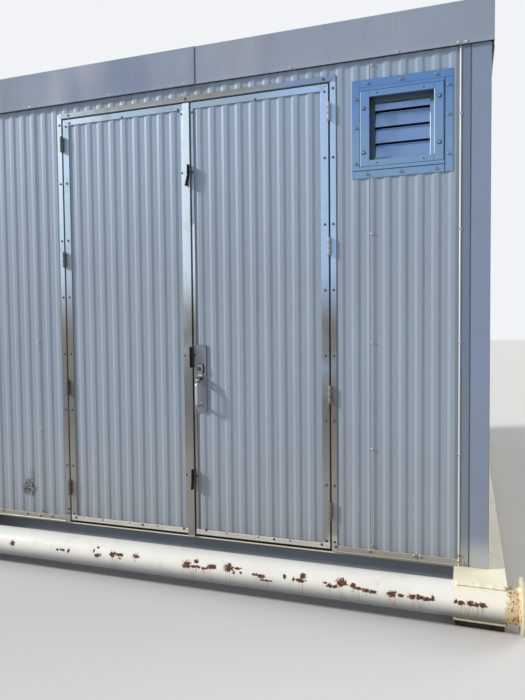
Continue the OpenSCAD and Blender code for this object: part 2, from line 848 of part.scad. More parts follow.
// Four strips that chase each other round the damper frame, and the fillers over and under it
module vent_flange() {
    filler_x = 42;
    filler_z = pan_h / 2 + seam;
    filler_h = pan_w / 2 - filler_z;
    color("lightblue") {
        for (k = [0 : 3]) vent_plate(0, trim_t) rotate(90 * k)
            translate([pan_w / 2 + seam, -vent_w / 2]) square([vent_strip_w, vent_w - vent_strip_w - seam]);
        vent_plate(-1, trim_t) translate([-pan_w / 2, filler_z])
            square([pan_w / 2 + filler_x - seam, filler_h]);
        vent_plate(-1, trim_t) translate([filler_x, filler_z]) square([pan_w / 2 - filler_x, filler_h]);
        vent_plate(-1, trim_t) translate([-pan_w / 2, -pan_w / 2]) square([pan_w, filler_h]);
    }
}
// Plan of the damper frame's face: a shallow pan with slanted side lips
module pan_plan() {
    w = pan_w / 2;
    lip = vent_proud + trim_t;
    polygon([[-w, trim_t], [lip - w, -vent_proud], [w - lip, -vent_proud], [w, trim_t]]);
}
module vent_frame() {
    o = vent_open / 2;
    web = blade_end + vent_t;
    color("lightblue") union() {
        difference() {
            upright(vent_z - pan_h / 2, vent_z + pan_h / 2) translate([vent_x, 0]) pan_plan();
            vent_plate(-vent_proud - 1, trim_t + 1) square(vent_open, center = true);
            for (x = [-o, o - seam]) for (z = [-pan_h / 2 - 1, o - 1])
                vent_plate(-vent_proud - 1, 1 - vent_proud) translate([x, z])
                    square([seam, vent_rail_w + 2]);
        }
        vent_ring(vent_open + 2 * vent_t, vent_open, 0, duct_y);
        vent_ring(vent_open + vent_t, 2 * blade_end, recess, recess + vent_t);
        for (x = [-web, blade_end]) vent_plate(recess, duct_y) translate([x, -o - 1])
            square([vent_t, vent_open + 2]);
    }
}
module vent_sleeve() {
    color("silver") union() {
        vent_ring(vent_open + 2 * vent_t, vent_open, duct_y, inner_y + vent_t);
        vent_ring(pan_h, vent_open, inner_y, inner_y + vent_t);
    }
}
// Section of a blade with its lower edge at z = 0: a hem, a leaning face and a rolled upper edge
module blade_section() {
    h = blade_pitch - blade_gap;
    hem = 8;
    polygon([
        [0, 0], [hem, 0], [hem, blade_t], [blade_t, blade_t],
        [blade_lean + blade_t, h], [blade_lean, h]
    ]);
    translate([blade_lean + blade_t, h - 2 * blade_t]) circle(r = 2 * blade_t);
}
module vent_blades() {
    clear = 0.3;
    end = blade_end - 1;
    head_z = blade_low + blade_n * blade_pitch;
    pivot_z = blade_pitch - blade_gap - 2 * blade_t;
    color("lightslategray") {
        for (i = [0 : blade_n - 1]) {
            z = vent_z + blade_low + i * blade_pitch;
            union() {
                along(vent_x - end, vent_x + end) translate([blade_y, z]) blade_section();
                xcyl(vent_x - blade_end + clear, vent_x + blade_end - clear,
                    front + blade_y + blade_lean + blade_t, base_h + z + pivot_z, blade_t);
            }
        }
        vent_plate(blade_y, blade_y + blade_t) translate([-blade_end + clear, head_z])
            square([2 * (blade_end - clear), vent_open / 2 - clear - head_z]);
    }
}

skid_beams();
runner_shoes();
cross_channels();
floor_joists();
floor_deck();
cross_pipes();
pipe_discs();
front_wall_left();
front_wall_right();
front_wall_head();
left_wall();
right_wall();
back_wall();
front_cladding();
left_cladding();
right_cladding();
back_cladding();
corner_posts();
corner_flashings();
base_trims();
roof_deck();
roof_sheet();
front_fascia();
side_fascias();
back_fascia();
door_frame();
frame_trims();
frame_hinges();
left_leaf();
left_leaf_cladding();
left_leaf_trims();
left_leaf_hinges();
meeting_strip();
turn_bars();
right_leaf();
right_leaf_cladding();
right_leaf_trims();
right_leaf_hinges();
lock_plate();
lock_cylinder();
pull_handle();
thumb_piece();
vent_flange();
vent_frame();
vent_blades();
vent_sleeve();
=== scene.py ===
"""Looks of a portable site cabin: its finishes, screws, seams, welds, buckled fascia, seals and dirt.

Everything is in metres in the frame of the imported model: X across the door end, Y from the door end
to the far end and Z up, with the ground at zero.
"""

import logging
import math
import random
from collections.abc import Callable, Iterable, Sequence
from dataclasses import dataclass, replace
from enum import Enum

import bmesh
import bpy
from mathutils import Matrix, Vector, noise


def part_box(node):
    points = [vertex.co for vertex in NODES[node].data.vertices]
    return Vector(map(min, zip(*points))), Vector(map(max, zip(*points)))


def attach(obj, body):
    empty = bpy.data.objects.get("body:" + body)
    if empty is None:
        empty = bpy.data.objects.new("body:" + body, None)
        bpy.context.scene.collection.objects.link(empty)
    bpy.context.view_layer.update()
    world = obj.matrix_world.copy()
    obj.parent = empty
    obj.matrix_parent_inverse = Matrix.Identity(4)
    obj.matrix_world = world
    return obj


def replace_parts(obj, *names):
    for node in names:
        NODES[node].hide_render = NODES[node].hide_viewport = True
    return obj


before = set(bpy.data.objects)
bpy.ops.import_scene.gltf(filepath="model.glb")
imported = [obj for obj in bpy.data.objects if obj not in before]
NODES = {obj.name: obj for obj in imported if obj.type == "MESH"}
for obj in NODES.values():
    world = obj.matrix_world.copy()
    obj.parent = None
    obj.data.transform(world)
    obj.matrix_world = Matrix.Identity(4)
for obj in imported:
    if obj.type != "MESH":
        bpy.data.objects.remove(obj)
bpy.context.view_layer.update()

LOG = logging.getLogger("cabin")
Colour = tuple[float, float, float]
Point = tuple[float, float, float]
Pair = tuple[float, float]
Socket = bpy.types.NodeSocket
MADE: dict[str, bpy.types.Material] = {}
EVEN: Point = (1, 1, 1)
# Gap under the corner posts, reach within which split corners are joined, degrees over which an edge
# counts as hard, and height of a mitre's seam over the trims.
POST_GAP = 0.001
JOIN_REACH = 1e-5
HARD_ANGLE = 35
SEAM_RISE = 0.0002
# Widths of rounded edges: on thick steel, on folded sheet and on small fittings.
THICK_EDGE, FOLD_EDGE, FINE_EDGE = 0.0012, 0.0006, 0.0005


class Body(Enum):
    """Moving parts of the cabin."""

    CABIN = "cabin"
    LEFT = "left_door"
    RIGHT = "right_door"


class Slot(Enum):
    """The record's material slots, which the added pieces are given but do not use."""

    CLADDING = "cladding_paint"
    DOOR_FRAME = "door_frame_steel"
    GALVANISED = "galvanised"
    LOCK = "lock_steel"
    SKID = "skid_paint"
    TRIM = "stainless_trim"
    VENT = "vent_metal"


class Axis(Enum):
    """Axes of the cabin's frame, numbered as a point's values."""

    X = 0
    Y = 1
    Z = 2


class Grain(Enum):
    """Direction in which a brushed sheet's grain runs, as scales along X, Y and Z."""

    UPRIGHT = (90.0, 90.0, 1.2)
    ACROSS = (1.2, 90.0, 90.0)
    EVERY_WAY = (25.0, 25.0, 25.0)


class Head(Enum):
    """Kinds of fastener head: radius over the flats or rim and height, in metres."""

    HEX = (0.0052, 0.0046)
    PAN = (0.0058, 0.0030)
    LARGE_PAN = (0.0064, 0.0036)
    SMALL_PAN = (0.0035, 0.0018)
    RING = (0.0098, 0.0010)


def srgb(red: int, green: int, blue: int) -> Colour:
    """Turns a colour as it looks on a screen into Blender's linear values.

    Args:
        red: Red from 0 to 255.
        green: Green from 0 to 255.
        blue: Blue from 0 to 255.

    Returns:
        The three linear values.
    """
    parts = [v / 255 for v in (red, green, blue)]
    return tuple(v / 12.92 if v <= 0.04045 else ((v + 0.055) / 1.055) ** 2.4 for v in parts)


# Marks on the wall sheet's coat.
COAT_CLOUD = srgb(110, 118, 132)
SPLASHED_SOIL = srgb(142, 130, 110)
BROWN_FILM = srgb(128, 114, 98)
SMEAR = srgb(112, 112, 108)
SCUFF = srgb(58, 54, 48)
# Wear of the gloss paint, its rust and the mud on it.
GLOSS_GREYED = srgb(150, 145, 130)
RUSTY_WATER = srgb(124, 100, 72)
RUST_HALO = srgb(192, 142, 88)
RUST_BROWN = srgb(104, 60, 40)
RUST_DARK = srgb(52, 33, 26)
RUST_LIGHT = srgb(160, 104, 58)
BLISTERED = srgb(208, 192, 150)
BLISTER_BLOOM = srgb(190, 138, 78)
BLISTER_ORANGE = srgb(172, 88, 36)
BLISTER_BROWN = srgb(94, 54, 30)
MUD_DRY = srgb(92, 74, 56)
MUD_WET = srgb(58, 48, 40)
# Marks on bare sheet, zinc, floor, lock and rubber. The zinc's sheen and shade are painted reflection,
# and the rim of the lock's collar is painted shade.
WATER_SPOT = srgb(92, 84, 74)
GREY_FILM = srgb(124, 120, 112)
ZINC_SHEEN = srgb(172, 176, 188)
ZINC_SHADE = srgb(112, 128, 156)
ZINC_SPANGLE = srgb(196, 200, 206)
ZINC_STAIN = srgb(120, 122, 124)
WORN_PATH = srgb(98, 88, 76)
COLLAR_GREY = srgb(128, 134, 140)
COLLAR_RIM_SHADE = srgb(48, 50, 52)
RING_BRIGHT = srgb(196, 200, 204)
PLUG_BROWN = srgb(92, 80, 68)
KEYWAY = srgb(20, 18, 16)
FINGER_MARKS = srgb(96, 90, 84)
RUBBER_BLACK = srgb(30, 30, 32)
RUBBER_DUST = srgb(104, 100, 94)


@dataclass(frozen=True)
class Wall:
    """Places on the cabin's outside that the fasteners and seams are set out from.

    Attributes:
        front: Y of the front trims' face.
        side: X of the right side's trims' face.
        base: Height of the skid's top.
        rib_pitch: Distance from crest to crest of the ribbed sheet.
        rib_crest: Width of a crest.
        rib_slope: Width of the slope beside a crest.
        rib_depth: Depth of the valleys.
        trim: Depth of the crests behind the trims' face.
    """

    front: float
    side: float
    base: float
    rib_pitch: float = 0.068
    rib_crest: float = 0.017
    rib_slope: float = 0.013
    rib_depth: float = 0.004
    trim: float = 0.003

    def rib_y(self, x: float) -> float:
        """Gives the depth of the ribbed face at x, with 0 on a crest.

        Args:
            x: Place along the wall from the middle.

        Returns:
            The depth behind the crests.
        """
        off = abs(x - self.rib_pitch * round(x / self.rib_pitch)) - self.rib_crest / 2
        return self.rib_depth * min(1.0, max(0.0, off / self.rib_slope))


def measure_wall() -> Wall:
    """Reads the wall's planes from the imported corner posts, which start just over the skid."""
    low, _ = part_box("corner_posts")
    return Wall(front=low.y, side=-low.x, base=low.z - POST_GAP)


WALL = measure_wall()


class Side(Enum):
    """The four walls. Each maps (along, depth inward, height) to a point."""

    FRONT = 0
    RIGHT = 1
    BACK = 2
    LEFT = 3

    def point(self, along: float, depth: float, height: float) -> Vector:
        """Places a point on this wall.

        Args:
            along: Distance from the wall's middle, to the right as seen from outside.
            depth: Distance inward from the face of the trims.
            height: Height over the ground.

        Returns:
            The point in the cabin's frame.
        """
        y, x = WALL.front, WALL.side
        places = {
            Side.FRONT: (along, y + depth, height),
            Side.RIGHT: (x - depth, along, height),
            Side.BACK: (-along, -y - depth, height),
            Side.LEFT: (-x + depth, -along, height),
        }
        return Vector(places[self])

    @property
    def outward(self) -> Vector:
        """Unit vector out of this wall."""
        return self.point(0, 0, 0) - self.point(0, 1, 0)

    @property
    def half(self) -> float:
        """Half the wall's length."""
        return WALL.side if self in (Side.FRONT, Side.BACK) else -WALL.front


class Graph:
    """The node tree of one material, written as short calls."""

    def __init__(self, name: str) -> None:
        """Starts an empty material with one shader.

        Args:
            name: Name of the material.
        """
        self.material = bpy.data.materials.new(name)
        self.material.use_nodes = True
        self.tree = self.material.node_tree
        self.tree.nodes.clear()
        output = self.tree.nodes.new("ShaderNodeOutputMaterial")
        self.shader = self.tree.nodes.new("ShaderNodeBsdfPrincipled")
        self.tree.links.new(self.shader.outputs[0], output.inputs[0])
        self.place = self.tree.nodes.new("ShaderNodeTexCoord").outputs["Object"]

    def put(self, socket: Socket, value: object) -> None:
        """Links a socket into another, or sets it to a number or colour.

        Args:
            socket: The input to fill.
            value: An output socket, a number or a colour.
        """
        if isinstance(value, Socket):
            self.tree.links.new(value, socket)
        elif isinstance(value, (int, float)):
            socket.default_value = value
        else:
            wide = len(socket.default_value) == 4
            socket.default_value = (*value, 1.0) if wide and len(value) == 3 else tuple(value)

    def math(self, operation: str, *values: object) -> Socket:
        """Adds a Math node.

        Args:
            operation: Blender's name of the operation.
            values: Its one to three values.

        Returns:
            The result's socket.
        """
        node = self.tree.nodes.new("ShaderNodeMath")
        node.operation = operation
        for socket, value in zip(node.inputs, values):
            self.put(socket, value)
        return node.outputs[0]

    def vector(self, operation: str, *values: object) -> bpy.types.Node:
        """Adds a Vector Math node.

        Args:
            operation: Blender's name of the operation.
            values: Its one or two vectors.

        Returns:
            The node.
        """
        node = self.tree.nodes.new("ShaderNodeVectorMath")
        node.operation = operation
        for socket, value in zip(node.inputs, values):
            self.put(socket, value)
        return node

    def noise(
        self, scale: float, detail: float = 4.0, stretch: Point = EVEN, rough: float = 0.55
    ) -> Socket:
        """Adds a noise texture on the object's own coordinates.

        Args:
            scale: Overall scale, per metre.
            detail: Number of octaves.
            stretch: Scales along X, Y and Z.
            rough: How strong the fine octaves are.

        Returns:
            The noise value's socket, from 0 to 1.
        """
        node = self.tree.nodes.new("ShaderNodeTexNoise")
        place = self.place
        if stretch != EVEN:
            place = self.vector("MULTIPLY", place, stretch).outputs[0]
        self.put(node.inputs["Vector"], place)
        for label, value in (("Scale", scale), ("Detail", detail), ("Roughness", rough)):
            self.put(node.inputs[label], value)
        return node.outputs[0]

    def range(self, value: object, low: float, high: float) -> Socket:
        """Turns a value into a share that goes smoothly from 0 to 1, and stays there.

        Args:
            value: The value.
            low: Where the share is 0.
            high: Where the share is 1.

        Returns:
            The share's socket.
        """
        node = self.tree.nodes.new("ShaderNodeMapRange")
        node.interpolation_type = "SMOOTHSTEP"
        for socket, number in zip(node.inputs, (value, low, high)):
            self.put(socket, number)
        return node.outputs[0]

    def mix(self, factor: object, first: object, second: object) -> Socket:
        """Mixes two colours.

        Args:
            factor: Share of the second colour.
            first: First colour.
            second: Second colour.

        Returns:
            The mixed colour's socket.
        """
        node = self.tree.nodes.new("ShaderNodeMix")
        node.data_type = "RGBA"
        self.put(node.inputs[0], factor)
        self.put(node.inputs[6], first)
        self.put(node.inputs[7], second)
        return node.outputs[2]

    def layer(self, tone: object, mask: object, share: object, colour: object) -> Socket:
        """Lays a colour over a tone.

        Args:
            tone: The colour so far.
            mask: Where the new colour lies, from 0 to 1.
            share: How much of it shows there.
            colour: The new colour.

        Returns:
            The socket of the colour that shows.
        """
        return self.mix(self.math("MULTIPLY", mask, share), tone, colour)

    def axis(self, axis: Axis) -> Socket:
        """Gives a place's own X, Y or Z.

        Args:
            axis: The axis.

        Returns:
            Its socket.
        """
        node = self.tree.nodes.new("ShaderNodeSeparateXYZ")
        self.put(node.inputs[0], self.place)
        return node.outputs[axis.value]

    def bump(self, height: object, strength: object, distance: float, under: object = None) -> Socket:
        """Adds a Bump node.

        Args:
            height: Height value.
            strength: Strength from 0 to 1.
            distance: Depth in metres.
            under: Normal of another bump below this one.

        Returns:
            The normal's socket.
        """
        node = self.tree.nodes.new("ShaderNodeBump")
        self.put(node.inputs["Strength"], strength)
        self.put(node.inputs["Distance"], distance)
        self.put(node.inputs["Height"], height)
        if under is not None:
            self.put(node.inputs["Normal"], under)
        return node.outputs[0]

    def spots(self, patches: Sequence["Patch"], wobble: float, scale: float) -> Socket:
        """Gives the distance to the nearest patch's ragged edge: below 1 inside, above 1 outside.

        Args:
            patches: The patches.
            wobble: How ragged the edges are.
            scale: Scale of the raggedness, per metre.

        Returns:
            The distance's socket.
        """
        nearest = None
        for patch in patches:
            off = self.vector("SUBTRACT", self.place, patch.centre).outputs[0]
            scaled = self.vector("MULTIPLY", off, tuple(1 / h for h in patch.half)).outputs[0]
            length = self.vector("LENGTH", scaled).outputs[1]
            nearest = length if nearest is None else self.math("MINIMUM", nearest, length)
        ragged = self.math("MULTIPLY_ADD", self.noise(scale, 6.0, rough=0.7), wobble, -wobble / 2)
        return self.math("ADD", nearest, ragged)

    def within(self, along: object, low: float, high: float, soft: float) -> Socket:
        """Gives a share of 1 between low and high that fades to 0 over the soft length outside."""
        start, end = self.range(along, low - soft, low), self.range(along, high + soft, high)
        return self.math("MULTIPLY", start, end)

    def zones(self, tone: object, zones: Sequence["Zone"]) -> Socket:
        """Colours stretches of the surface.

        Args:
            tone: The colour so far.
            zones: The stretches.

        Returns:
            The new colour's socket.
        """
        for zone in zones:
            along = self.axis(zone.axis)
            if zone.both:
                along = self.math("ABSOLUTE", along)
            if zone.lean:
                aside = self.math("MULTIPLY", self.math("ABSOLUTE", self.axis(Axis.X)), zone.lean)
                along = self.math("SUBTRACT", along, aside)
            inside = self.within(along, zone.low, zone.high, zone.soft)
            if zone.only:
                soft = zone.only.soft or zone.soft
                kept = self.within(self.axis(zone.only.axis), zone.only.low, zone.only.high, soft)
                inside = self.math("MULTIPLY", inside, kept)
            tone = self.layer(tone, inside, zone.share, zone.colour)
        return tone

    def dress(self, **values: object) -> bpy.types.Material:
        """Fills the shader's sockets.

        Args:
            values: What goes into each, with the spaces in its name written as underscores.

        Returns:
            The finished material.
        """
        for label, value in values.items():
            self.put(self.shader.inputs[label.replace("_", " ")], value)
        return self.material


@dataclass(frozen=True)
class Patch:
    """An oval region of wear, rust or dirt.

    Attributes:
        centre: Its middle.
        half: Its half lengths along X, Y and Z.
    """

    centre: Point
    half: Point


@dataclass(frozen=True)
class Span:
    """A stretch along an axis.

    Attributes:
        axis: The axis.
        low: Where it starts.
        high: Where it ends.
        soft: Length over which it fades out, or 0 where that is the zone's own.
    """

    axis: Axis
    low: float
    high: float
    soft: float = 0.0


@dataclass(frozen=True)
class Zone:
    """A stretch of a surface with its own colour.

    Attributes:
        axis: The axis that it is measured along.
        low: Where it starts along the axis.
        high: Where it ends.
        colour: Its colour.
        share: How much of the colour shows.
        soft: Length over which it fades out.
        both: Whether it is also there at the other side of the middle.
        only: A stretch along a second axis, which the zone keeps within.
        lean: Share of the distance from the middle along X that is taken off the height, which
            lets a zone end along mitred corners.
    """

    axis: Axis
    low: float
    high: float
    colour: Colour
    share: float = 1.0
    soft: float = 0.0006
    both: bool = False
    only: Span | None = None
    lean: float = 0.0


@dataclass(frozen=True)
class Finish:
    """A finish that a piece can be given. Each kind makes its own material once.

    Attributes:
        name: Name of the material.
    """

    name: str

    def graph(self) -> bpy.types.Material:
        """Makes the material."""
        raise NotImplementedError

    @property
    def material(self) -> bpy.types.Material:
        """Gives the material, which is made on first use.

        Returns:
            The material.
        """
        if self.name not in MADE:
            MADE[self.name] = self.graph()
        return MADE[self.name]


@dataclass(frozen=True)
class SheetPaint(Finish):
    """Factory coat on ribbed wall sheet, with rain streaks, a line of dirt at the foot and stains.

    Attributes:
        colour: The coat at the middle of its height.
        top: The coat at the top, lighter and bluer: painted light.
        foot: The coat towards the foot, greyer and less blue.
        grime: The dirt.
        stains: Places with a splash of dirt.
        films: Places with a thin brown film.
    """

    colour: Colour = srgb(147, 160, 175)
    top: Colour = srgb(149, 166, 187)
    foot: Colour = srgb(150, 158, 167)
    grime: Colour = srgb(98, 92, 80)
    stains: tuple[Patch, ...] = ()
    films: tuple[Patch, ...] = ()

    def graph(self) -> bpy.types.Material:
        """Makes the material.

        Returns:
            The material.
        """
        g = Graph(self.name)
        broad = g.range(g.noise(1.1, 3.0), 0.3, 0.7)
        streak = g.range(g.noise(1.0, 5.0, (38, 38, 0.9)), 0.52, 0.78)
        speck = g.range(g.noise(160.0, 4.0), 0.67, 0.74)
        # Painted light makes the coat lighter and bluer towards the top; towards the foot it turns greyer.
        tone = g.mix(g.range(g.axis(Axis.Z), 1.3, 2.3), self.colour, self.top)
        tone = g.mix(g.range(g.axis(Axis.Z), 1.1, 0.3), tone, self.foot)
        tone = g.layer(tone, broad, 0.10, COAT_CLOUD)
        tone = g.layer(tone, streak, 0.12, self.grime)
        tone = g.layer(tone, speck, 0.16, self.grime)
        splash = g.range(g.noise(40.0, 5.0), 0.36, 0.74)
        splash = g.math("MULTIPLY", g.range(g.axis(Axis.Z), 0.285, 0.215), splash)
        tone = g.layer(tone, splash, 0.40, SPLASHED_SOIL)
        dirt = splash
        if self.films:
            film = g.range(g.spots(self.films, 0.9, 16.0), 1.15, 0.2)
            tone = g.layer(tone, film, 0.45, BROWN_FILM)
        if self.stains:
            inside = g.range(g.spots(self.stains, 1.4, 30.0), 1.1, 0.5)
            scuff = g.math("MULTIPLY", inside, g.range(g.noise(95.0, 5.0, rough=0.7), 0.44, 0.53))
            dirt = g.math("MAXIMUM", dirt, inside)
            tone = g.layer(tone, inside, 0.35, SMEAR)
            tone = g.layer(tone, scuff, 0.9, SCUFF)
        rough = g.math("MULTIPLY_ADD", dirt, 0.35, 0.44)
        normal = g.bump(g.noise(420.0, 3.0), 0.10, 0.0004)
        normal = g.bump(g.noise(3.5, 2.0, (1, 1, 0.35)), 0.25, 0.004, normal)
        return g.dress(Base_Color=tone, Roughness=rough, Normal=normal, Specular_IOR_Level=0.26)


@dataclass(frozen=True)
class GlossPaint(Finish):
    """Thick brushed-on gloss over steel, chipped to rust, with mud on what hangs low.

    Attributes:
        colour: The paint.
        rust: Places where the paint has gone.
        runs: Places where rusty water has run down.
        freckles: Places with many small rusty blisters.
        speckle: Share of small rust specks all over, from 0 to 1.
        mud_top: Height below which mud clings.
        zones: Stretches with another colour.
    """

    colour: Colour = srgb(236, 234, 226)
    rust: tuple[Patch, ...] = ()
    runs: tuple[Patch, ...] = ()
    freckles: tuple[Patch, ...] = ()
    speckle: float = 0.25
    mud_top: float = 0.05
    zones: tuple[Zone, ...] = ()

    def graph(self) -> bpy.types.Material:
        """Makes the material.

        Returns:
            The material.
        """
        g = Graph(self.name)
        broad = g.range(g.noise(2.3, 4.0), 0.3, 0.7)
        tone = g.mix(broad, self.colour, tuple(c * 0.91 for c in self.colour))
        tone = g.zones(tone, self.zones)
        grey = g.range(g.noise(14.0, 6.0), 0.55, 0.78)
        tone = g.layer(tone, grey, 0.20, GLOSS_GREYED)
        fine = g.noise(75.0, 5.0, rough=0.65)
        limit = 0.745 - 0.05 * self.speckle
        bare = g.range(fine, limit, limit + 0.02)
        halo = g.range(fine, limit - 0.08, limit)
        if self.runs:
            wet = g.range(g.spots(self.runs, 0.5, 60.0), 1.0, 0.2)
            lines = g.range(g.noise(9.0, 3.0, (26, 1.2, 1.2)), 0.50, 0.60)
            tone = g.layer(tone, wet, g.math("MULTIPLY", lines, 0.62), RUSTY_WATER)
        if self.rust:
            near = g.spots(self.rust, 3.4, 95.0)
            bare = g.math("MAXIMUM", bare, g.range(near, 1.02, 0.92))
            halo = g.math("MAXIMUM", halo, g.math("MULTIPLY", g.range(near, 1.45, 0.95), 0.9))
        tone = g.layer(tone, halo, 0.45, RUST_HALO)
        rusty = g.mix(g.range(g.noise(170.0, 5.0), 0.38, 0.62), RUST_BROWN, RUST_DARK)
        rusty = g.mix(g.range(g.noise(75.0, 3.0), 0.57, 0.68), rusty, RUST_LIGHT)
        tone = g.mix(bare, tone, rusty)
        if self.freckles:
            place = g.range(g.spots(self.freckles, 0.9, 26.0), 1.05, 0.75)
            tone = g.layer(tone, place, 0.85, BLISTERED)
            blister = g.range(g.noise(74.0, 5.0, (1.5, 1.5, 0.50), 0.62), 0.515, 0.56)
            blister = g.math("MULTIPLY", place, blister)
            bloom = g.range(g.noise(26.0, 6.0, (1.5, 1.5, 0.60), 0.62), 0.38, 0.58)
            bloom = g.math("MULTIPLY", place, bloom)
            tone = g.layer(tone, bloom, 0.34, BLISTER_BLOOM)
            spot = g.mix(g.range(g.noise(90.0, 4.0), 0.42, 0.66), BLISTER_ORANGE, BLISTER_BROWN)
            tone = g.layer(tone, blister, 0.9, spot)
            bare = g.math("MAXIMUM", bare, g.math("MULTIPLY", blister, 0.8))
        mud = g.range(g.axis(Axis.Z), self.mud_top, self.mud_top - 0.07)
        mud = g.math("MULTIPLY", mud, g.range(g.noise(22.0, 6.0), 0.30, 0.55))
        tone = g.mix(mud, tone, g.mix(g.noise(60.0, 4.0), MUD_DRY, MUD_WET))
        matt = g.math("MAXIMUM", bare, mud)
        rough = g.math("MULTIPLY_ADD", matt, 0.55, 0.30)
        normal = g.bump(g.noise(9.0, 3.0), 0.18, 0.003)
        normal = g.bump(g.math("SUBTRACT", 1.0, bare), 0.6, 0.0008, normal)
        normal = g.bump(g.noise(300.0, 4.0), g.math("MULTIPLY", matt, 0.5), 0.0008, normal)
        return g.dress(Base_Color=tone, Roughness=rough, Normal=normal, Specular_IOR_Level=0.5)


@dataclass(frozen=True)
class BrushedSheet(Finish):
    """Bare brushed sheet with a grain, finger marks, dull water stains and a second colour along its height.

    Attributes:
        colour: The metal.
        grain: Direction of the grain.
        shine: Roughness of a clean place.
        metal: How metallic the sheet is.
        low: The second colour: on the bright trims painted reflection of the ground towards their foot, on
            the vent painted shade towards its top, and on the other sheets dirt towards the ground.
        fade: Heights at which that colour starts and is whole.
        films: Places with a thin brown film.
        tints: Stretches where the clean metal has another colour.
        zones: Stretches with another colour on top of the dirt.
    """

    colour: Colour = srgb(196, 206, 216)
    grain: Grain = Grain.UPRIGHT
    shine: float = 0.34
    metal: float = 0.85
    low: Colour = srgb(128, 124, 118)
    fade: Pair = (1.85, 1.15)
    films: tuple[Patch, ...] = ()
    tints: tuple[Zone, ...] = ()
    zones: tuple[Zone, ...] = ()

    def graph(self) -> bpy.types.Material:
        """Makes the material.

        Returns:
            The material.
        """
        g = Graph(self.name)
        grain = g.noise(6.0, 5.0, self.grain.value)
        blotch = g.range(g.noise(9.0, 5.0), 0.42, 0.68)
        spots = g.range(g.noise(130.0, 4.0), 0.64, 0.72)
        patchy = g.range(g.noise(2.6, 4.0), 0.12, 0.50)
        # The low colour takes over along the height: painted reflection on the bright trims, painted shade on
        # the vent, dirt on the other sheets.
        dirt_and_reflection_share = g.math("MULTIPLY", g.range(g.axis(Axis.Z), *self.fade), patchy)
        tone = g.layer(self.colour, grain, 0.30, tuple(c * 0.62 for c in self.colour))
        tone = g.zones(tone, self.tints)
        tone = g.layer(tone, blotch, 0.18, self.low)
        tone = g.mix(dirt_and_reflection_share, tone, self.low)
        tone = g.layer(tone, spots, 0.40, WATER_SPOT)
        if self.films:
            film = g.range(g.spots(self.films, 0.8, 14.0), 1.1, 0.4)
            tone = g.layer(tone, film, 0.75, GREY_FILM)
        tone = g.zones(tone, self.zones)
        rough = g.math("MULTIPLY_ADD", blotch, 0.20, self.shine)
        rough = g.math("ADD", rough, g.math("MULTIPLY", grain, 0.10))
        normal = g.bump(grain, 0.12, 0.0003)
        normal = g.bump(g.noise(7.0, 2.0), 0.20, 0.002, normal)
        return g.dress(Base_Color=tone, Roughness=rough, Metallic=self.metal, Normal=normal)


@dataclass(frozen=True)
class GalvanisedSheet(Finish):
    """Dull galvanised sheet with a faint spangle, soft upright stains, and painted sheen and shade.

    Attributes:
        colour: The zinc.
    """

    colour: Colour = srgb(146, 157, 175)

    def graph(self) -> bpy.types.Material:
        """Makes the material.

        Returns:
            The material.
        """
        g = Graph(self.name)
        cells = g.tree.nodes.new("ShaderNodeTexVoronoi")
        g.put(cells.inputs["Vector"], g.place)
        g.put(cells.inputs["Scale"], 85.0)
        spangle = g.math("MULTIPLY", g.range(cells.outputs["Distance"], 0.0, 0.8), 0.05)
        broad = g.range(g.noise(0.9, 4.0), 0.32, 0.68)
        stain = g.range(g.noise(2.0, 6.0, (4, 4, 1.0)), 0.50, 0.74)
        # Painted reflection: broad lighter sheen and bluer shade where the buckled sheet mirrors its
        # surroundings.
        sheen = g.range(g.noise(2.6, 2.0, (1, 1, 0.45), 0.4), 0.50, 0.72)
        shade = g.range(g.noise(3.1, 2.0, (1, 1, 0.35), 0.4), 0.46, 0.30)
        tone = g.mix(broad, self.colour, tuple(c * 0.86 for c in self.colour))
        tone = g.layer(tone, sheen, 0.55, ZINC_SHEEN)
        tone = g.layer(tone, shade, 0.55, ZINC_SHADE)
        tone = g.mix(spangle, tone, ZINC_SPANGLE)
        tone = g.layer(tone, stain, 0.22, ZINC_STAIN)
        rough = g.math("MULTIPLY_ADD", stain, 0.18, 0.72)
        normal = g.bump(g.noise(160.0, 3.0), 0.08, 0.0005)
        normal = g.bump(g.noise(5.0, 2.0), 0.20, 0.003, normal)
        return g.dress(Base_Color=tone, Roughness=rough, Normal=normal, Specular_IOR_Level=0.10)


@dataclass(frozen=True)
class BareSteel(Finish):
    """Unpainted steel that has rusted or been caked with soil.

    Attributes:
        light: The lighter rust.
        dark: The darker rust.
        soil: Colour of the soil on it.
        soil_share: How much soil there is, from 0 to 1.
    """

    light: Colour = srgb(122, 72, 46)
    dark: Colour = srgb(48, 34, 28)
    soil: Colour = srgb(92, 78, 62)
    soil_share: float = 0.0

    def graph(self) -> bpy.types.Material:
        """Makes the material.

        Returns:
            The material.
        """
        g = Graph(self.name)
        mottle = g.range(g.noise(36.0, 7.0, rough=0.65), 0.36, 0.66)
        tone = g.mix(mottle, self.dark, self.light)
        soil = g.range(g.noise(11.0, 6.0), 0.35, 0.60)
        tone = g.layer(tone, soil, self.soil_share, self.soil)
        normal = g.bump(g.noise(90.0, 6.0, rough=0.7), 0.55, 0.0015)
        return g.dress(Base_Color=tone, Roughness=0.86, Normal=normal, Specular_IOR_Level=0.25)


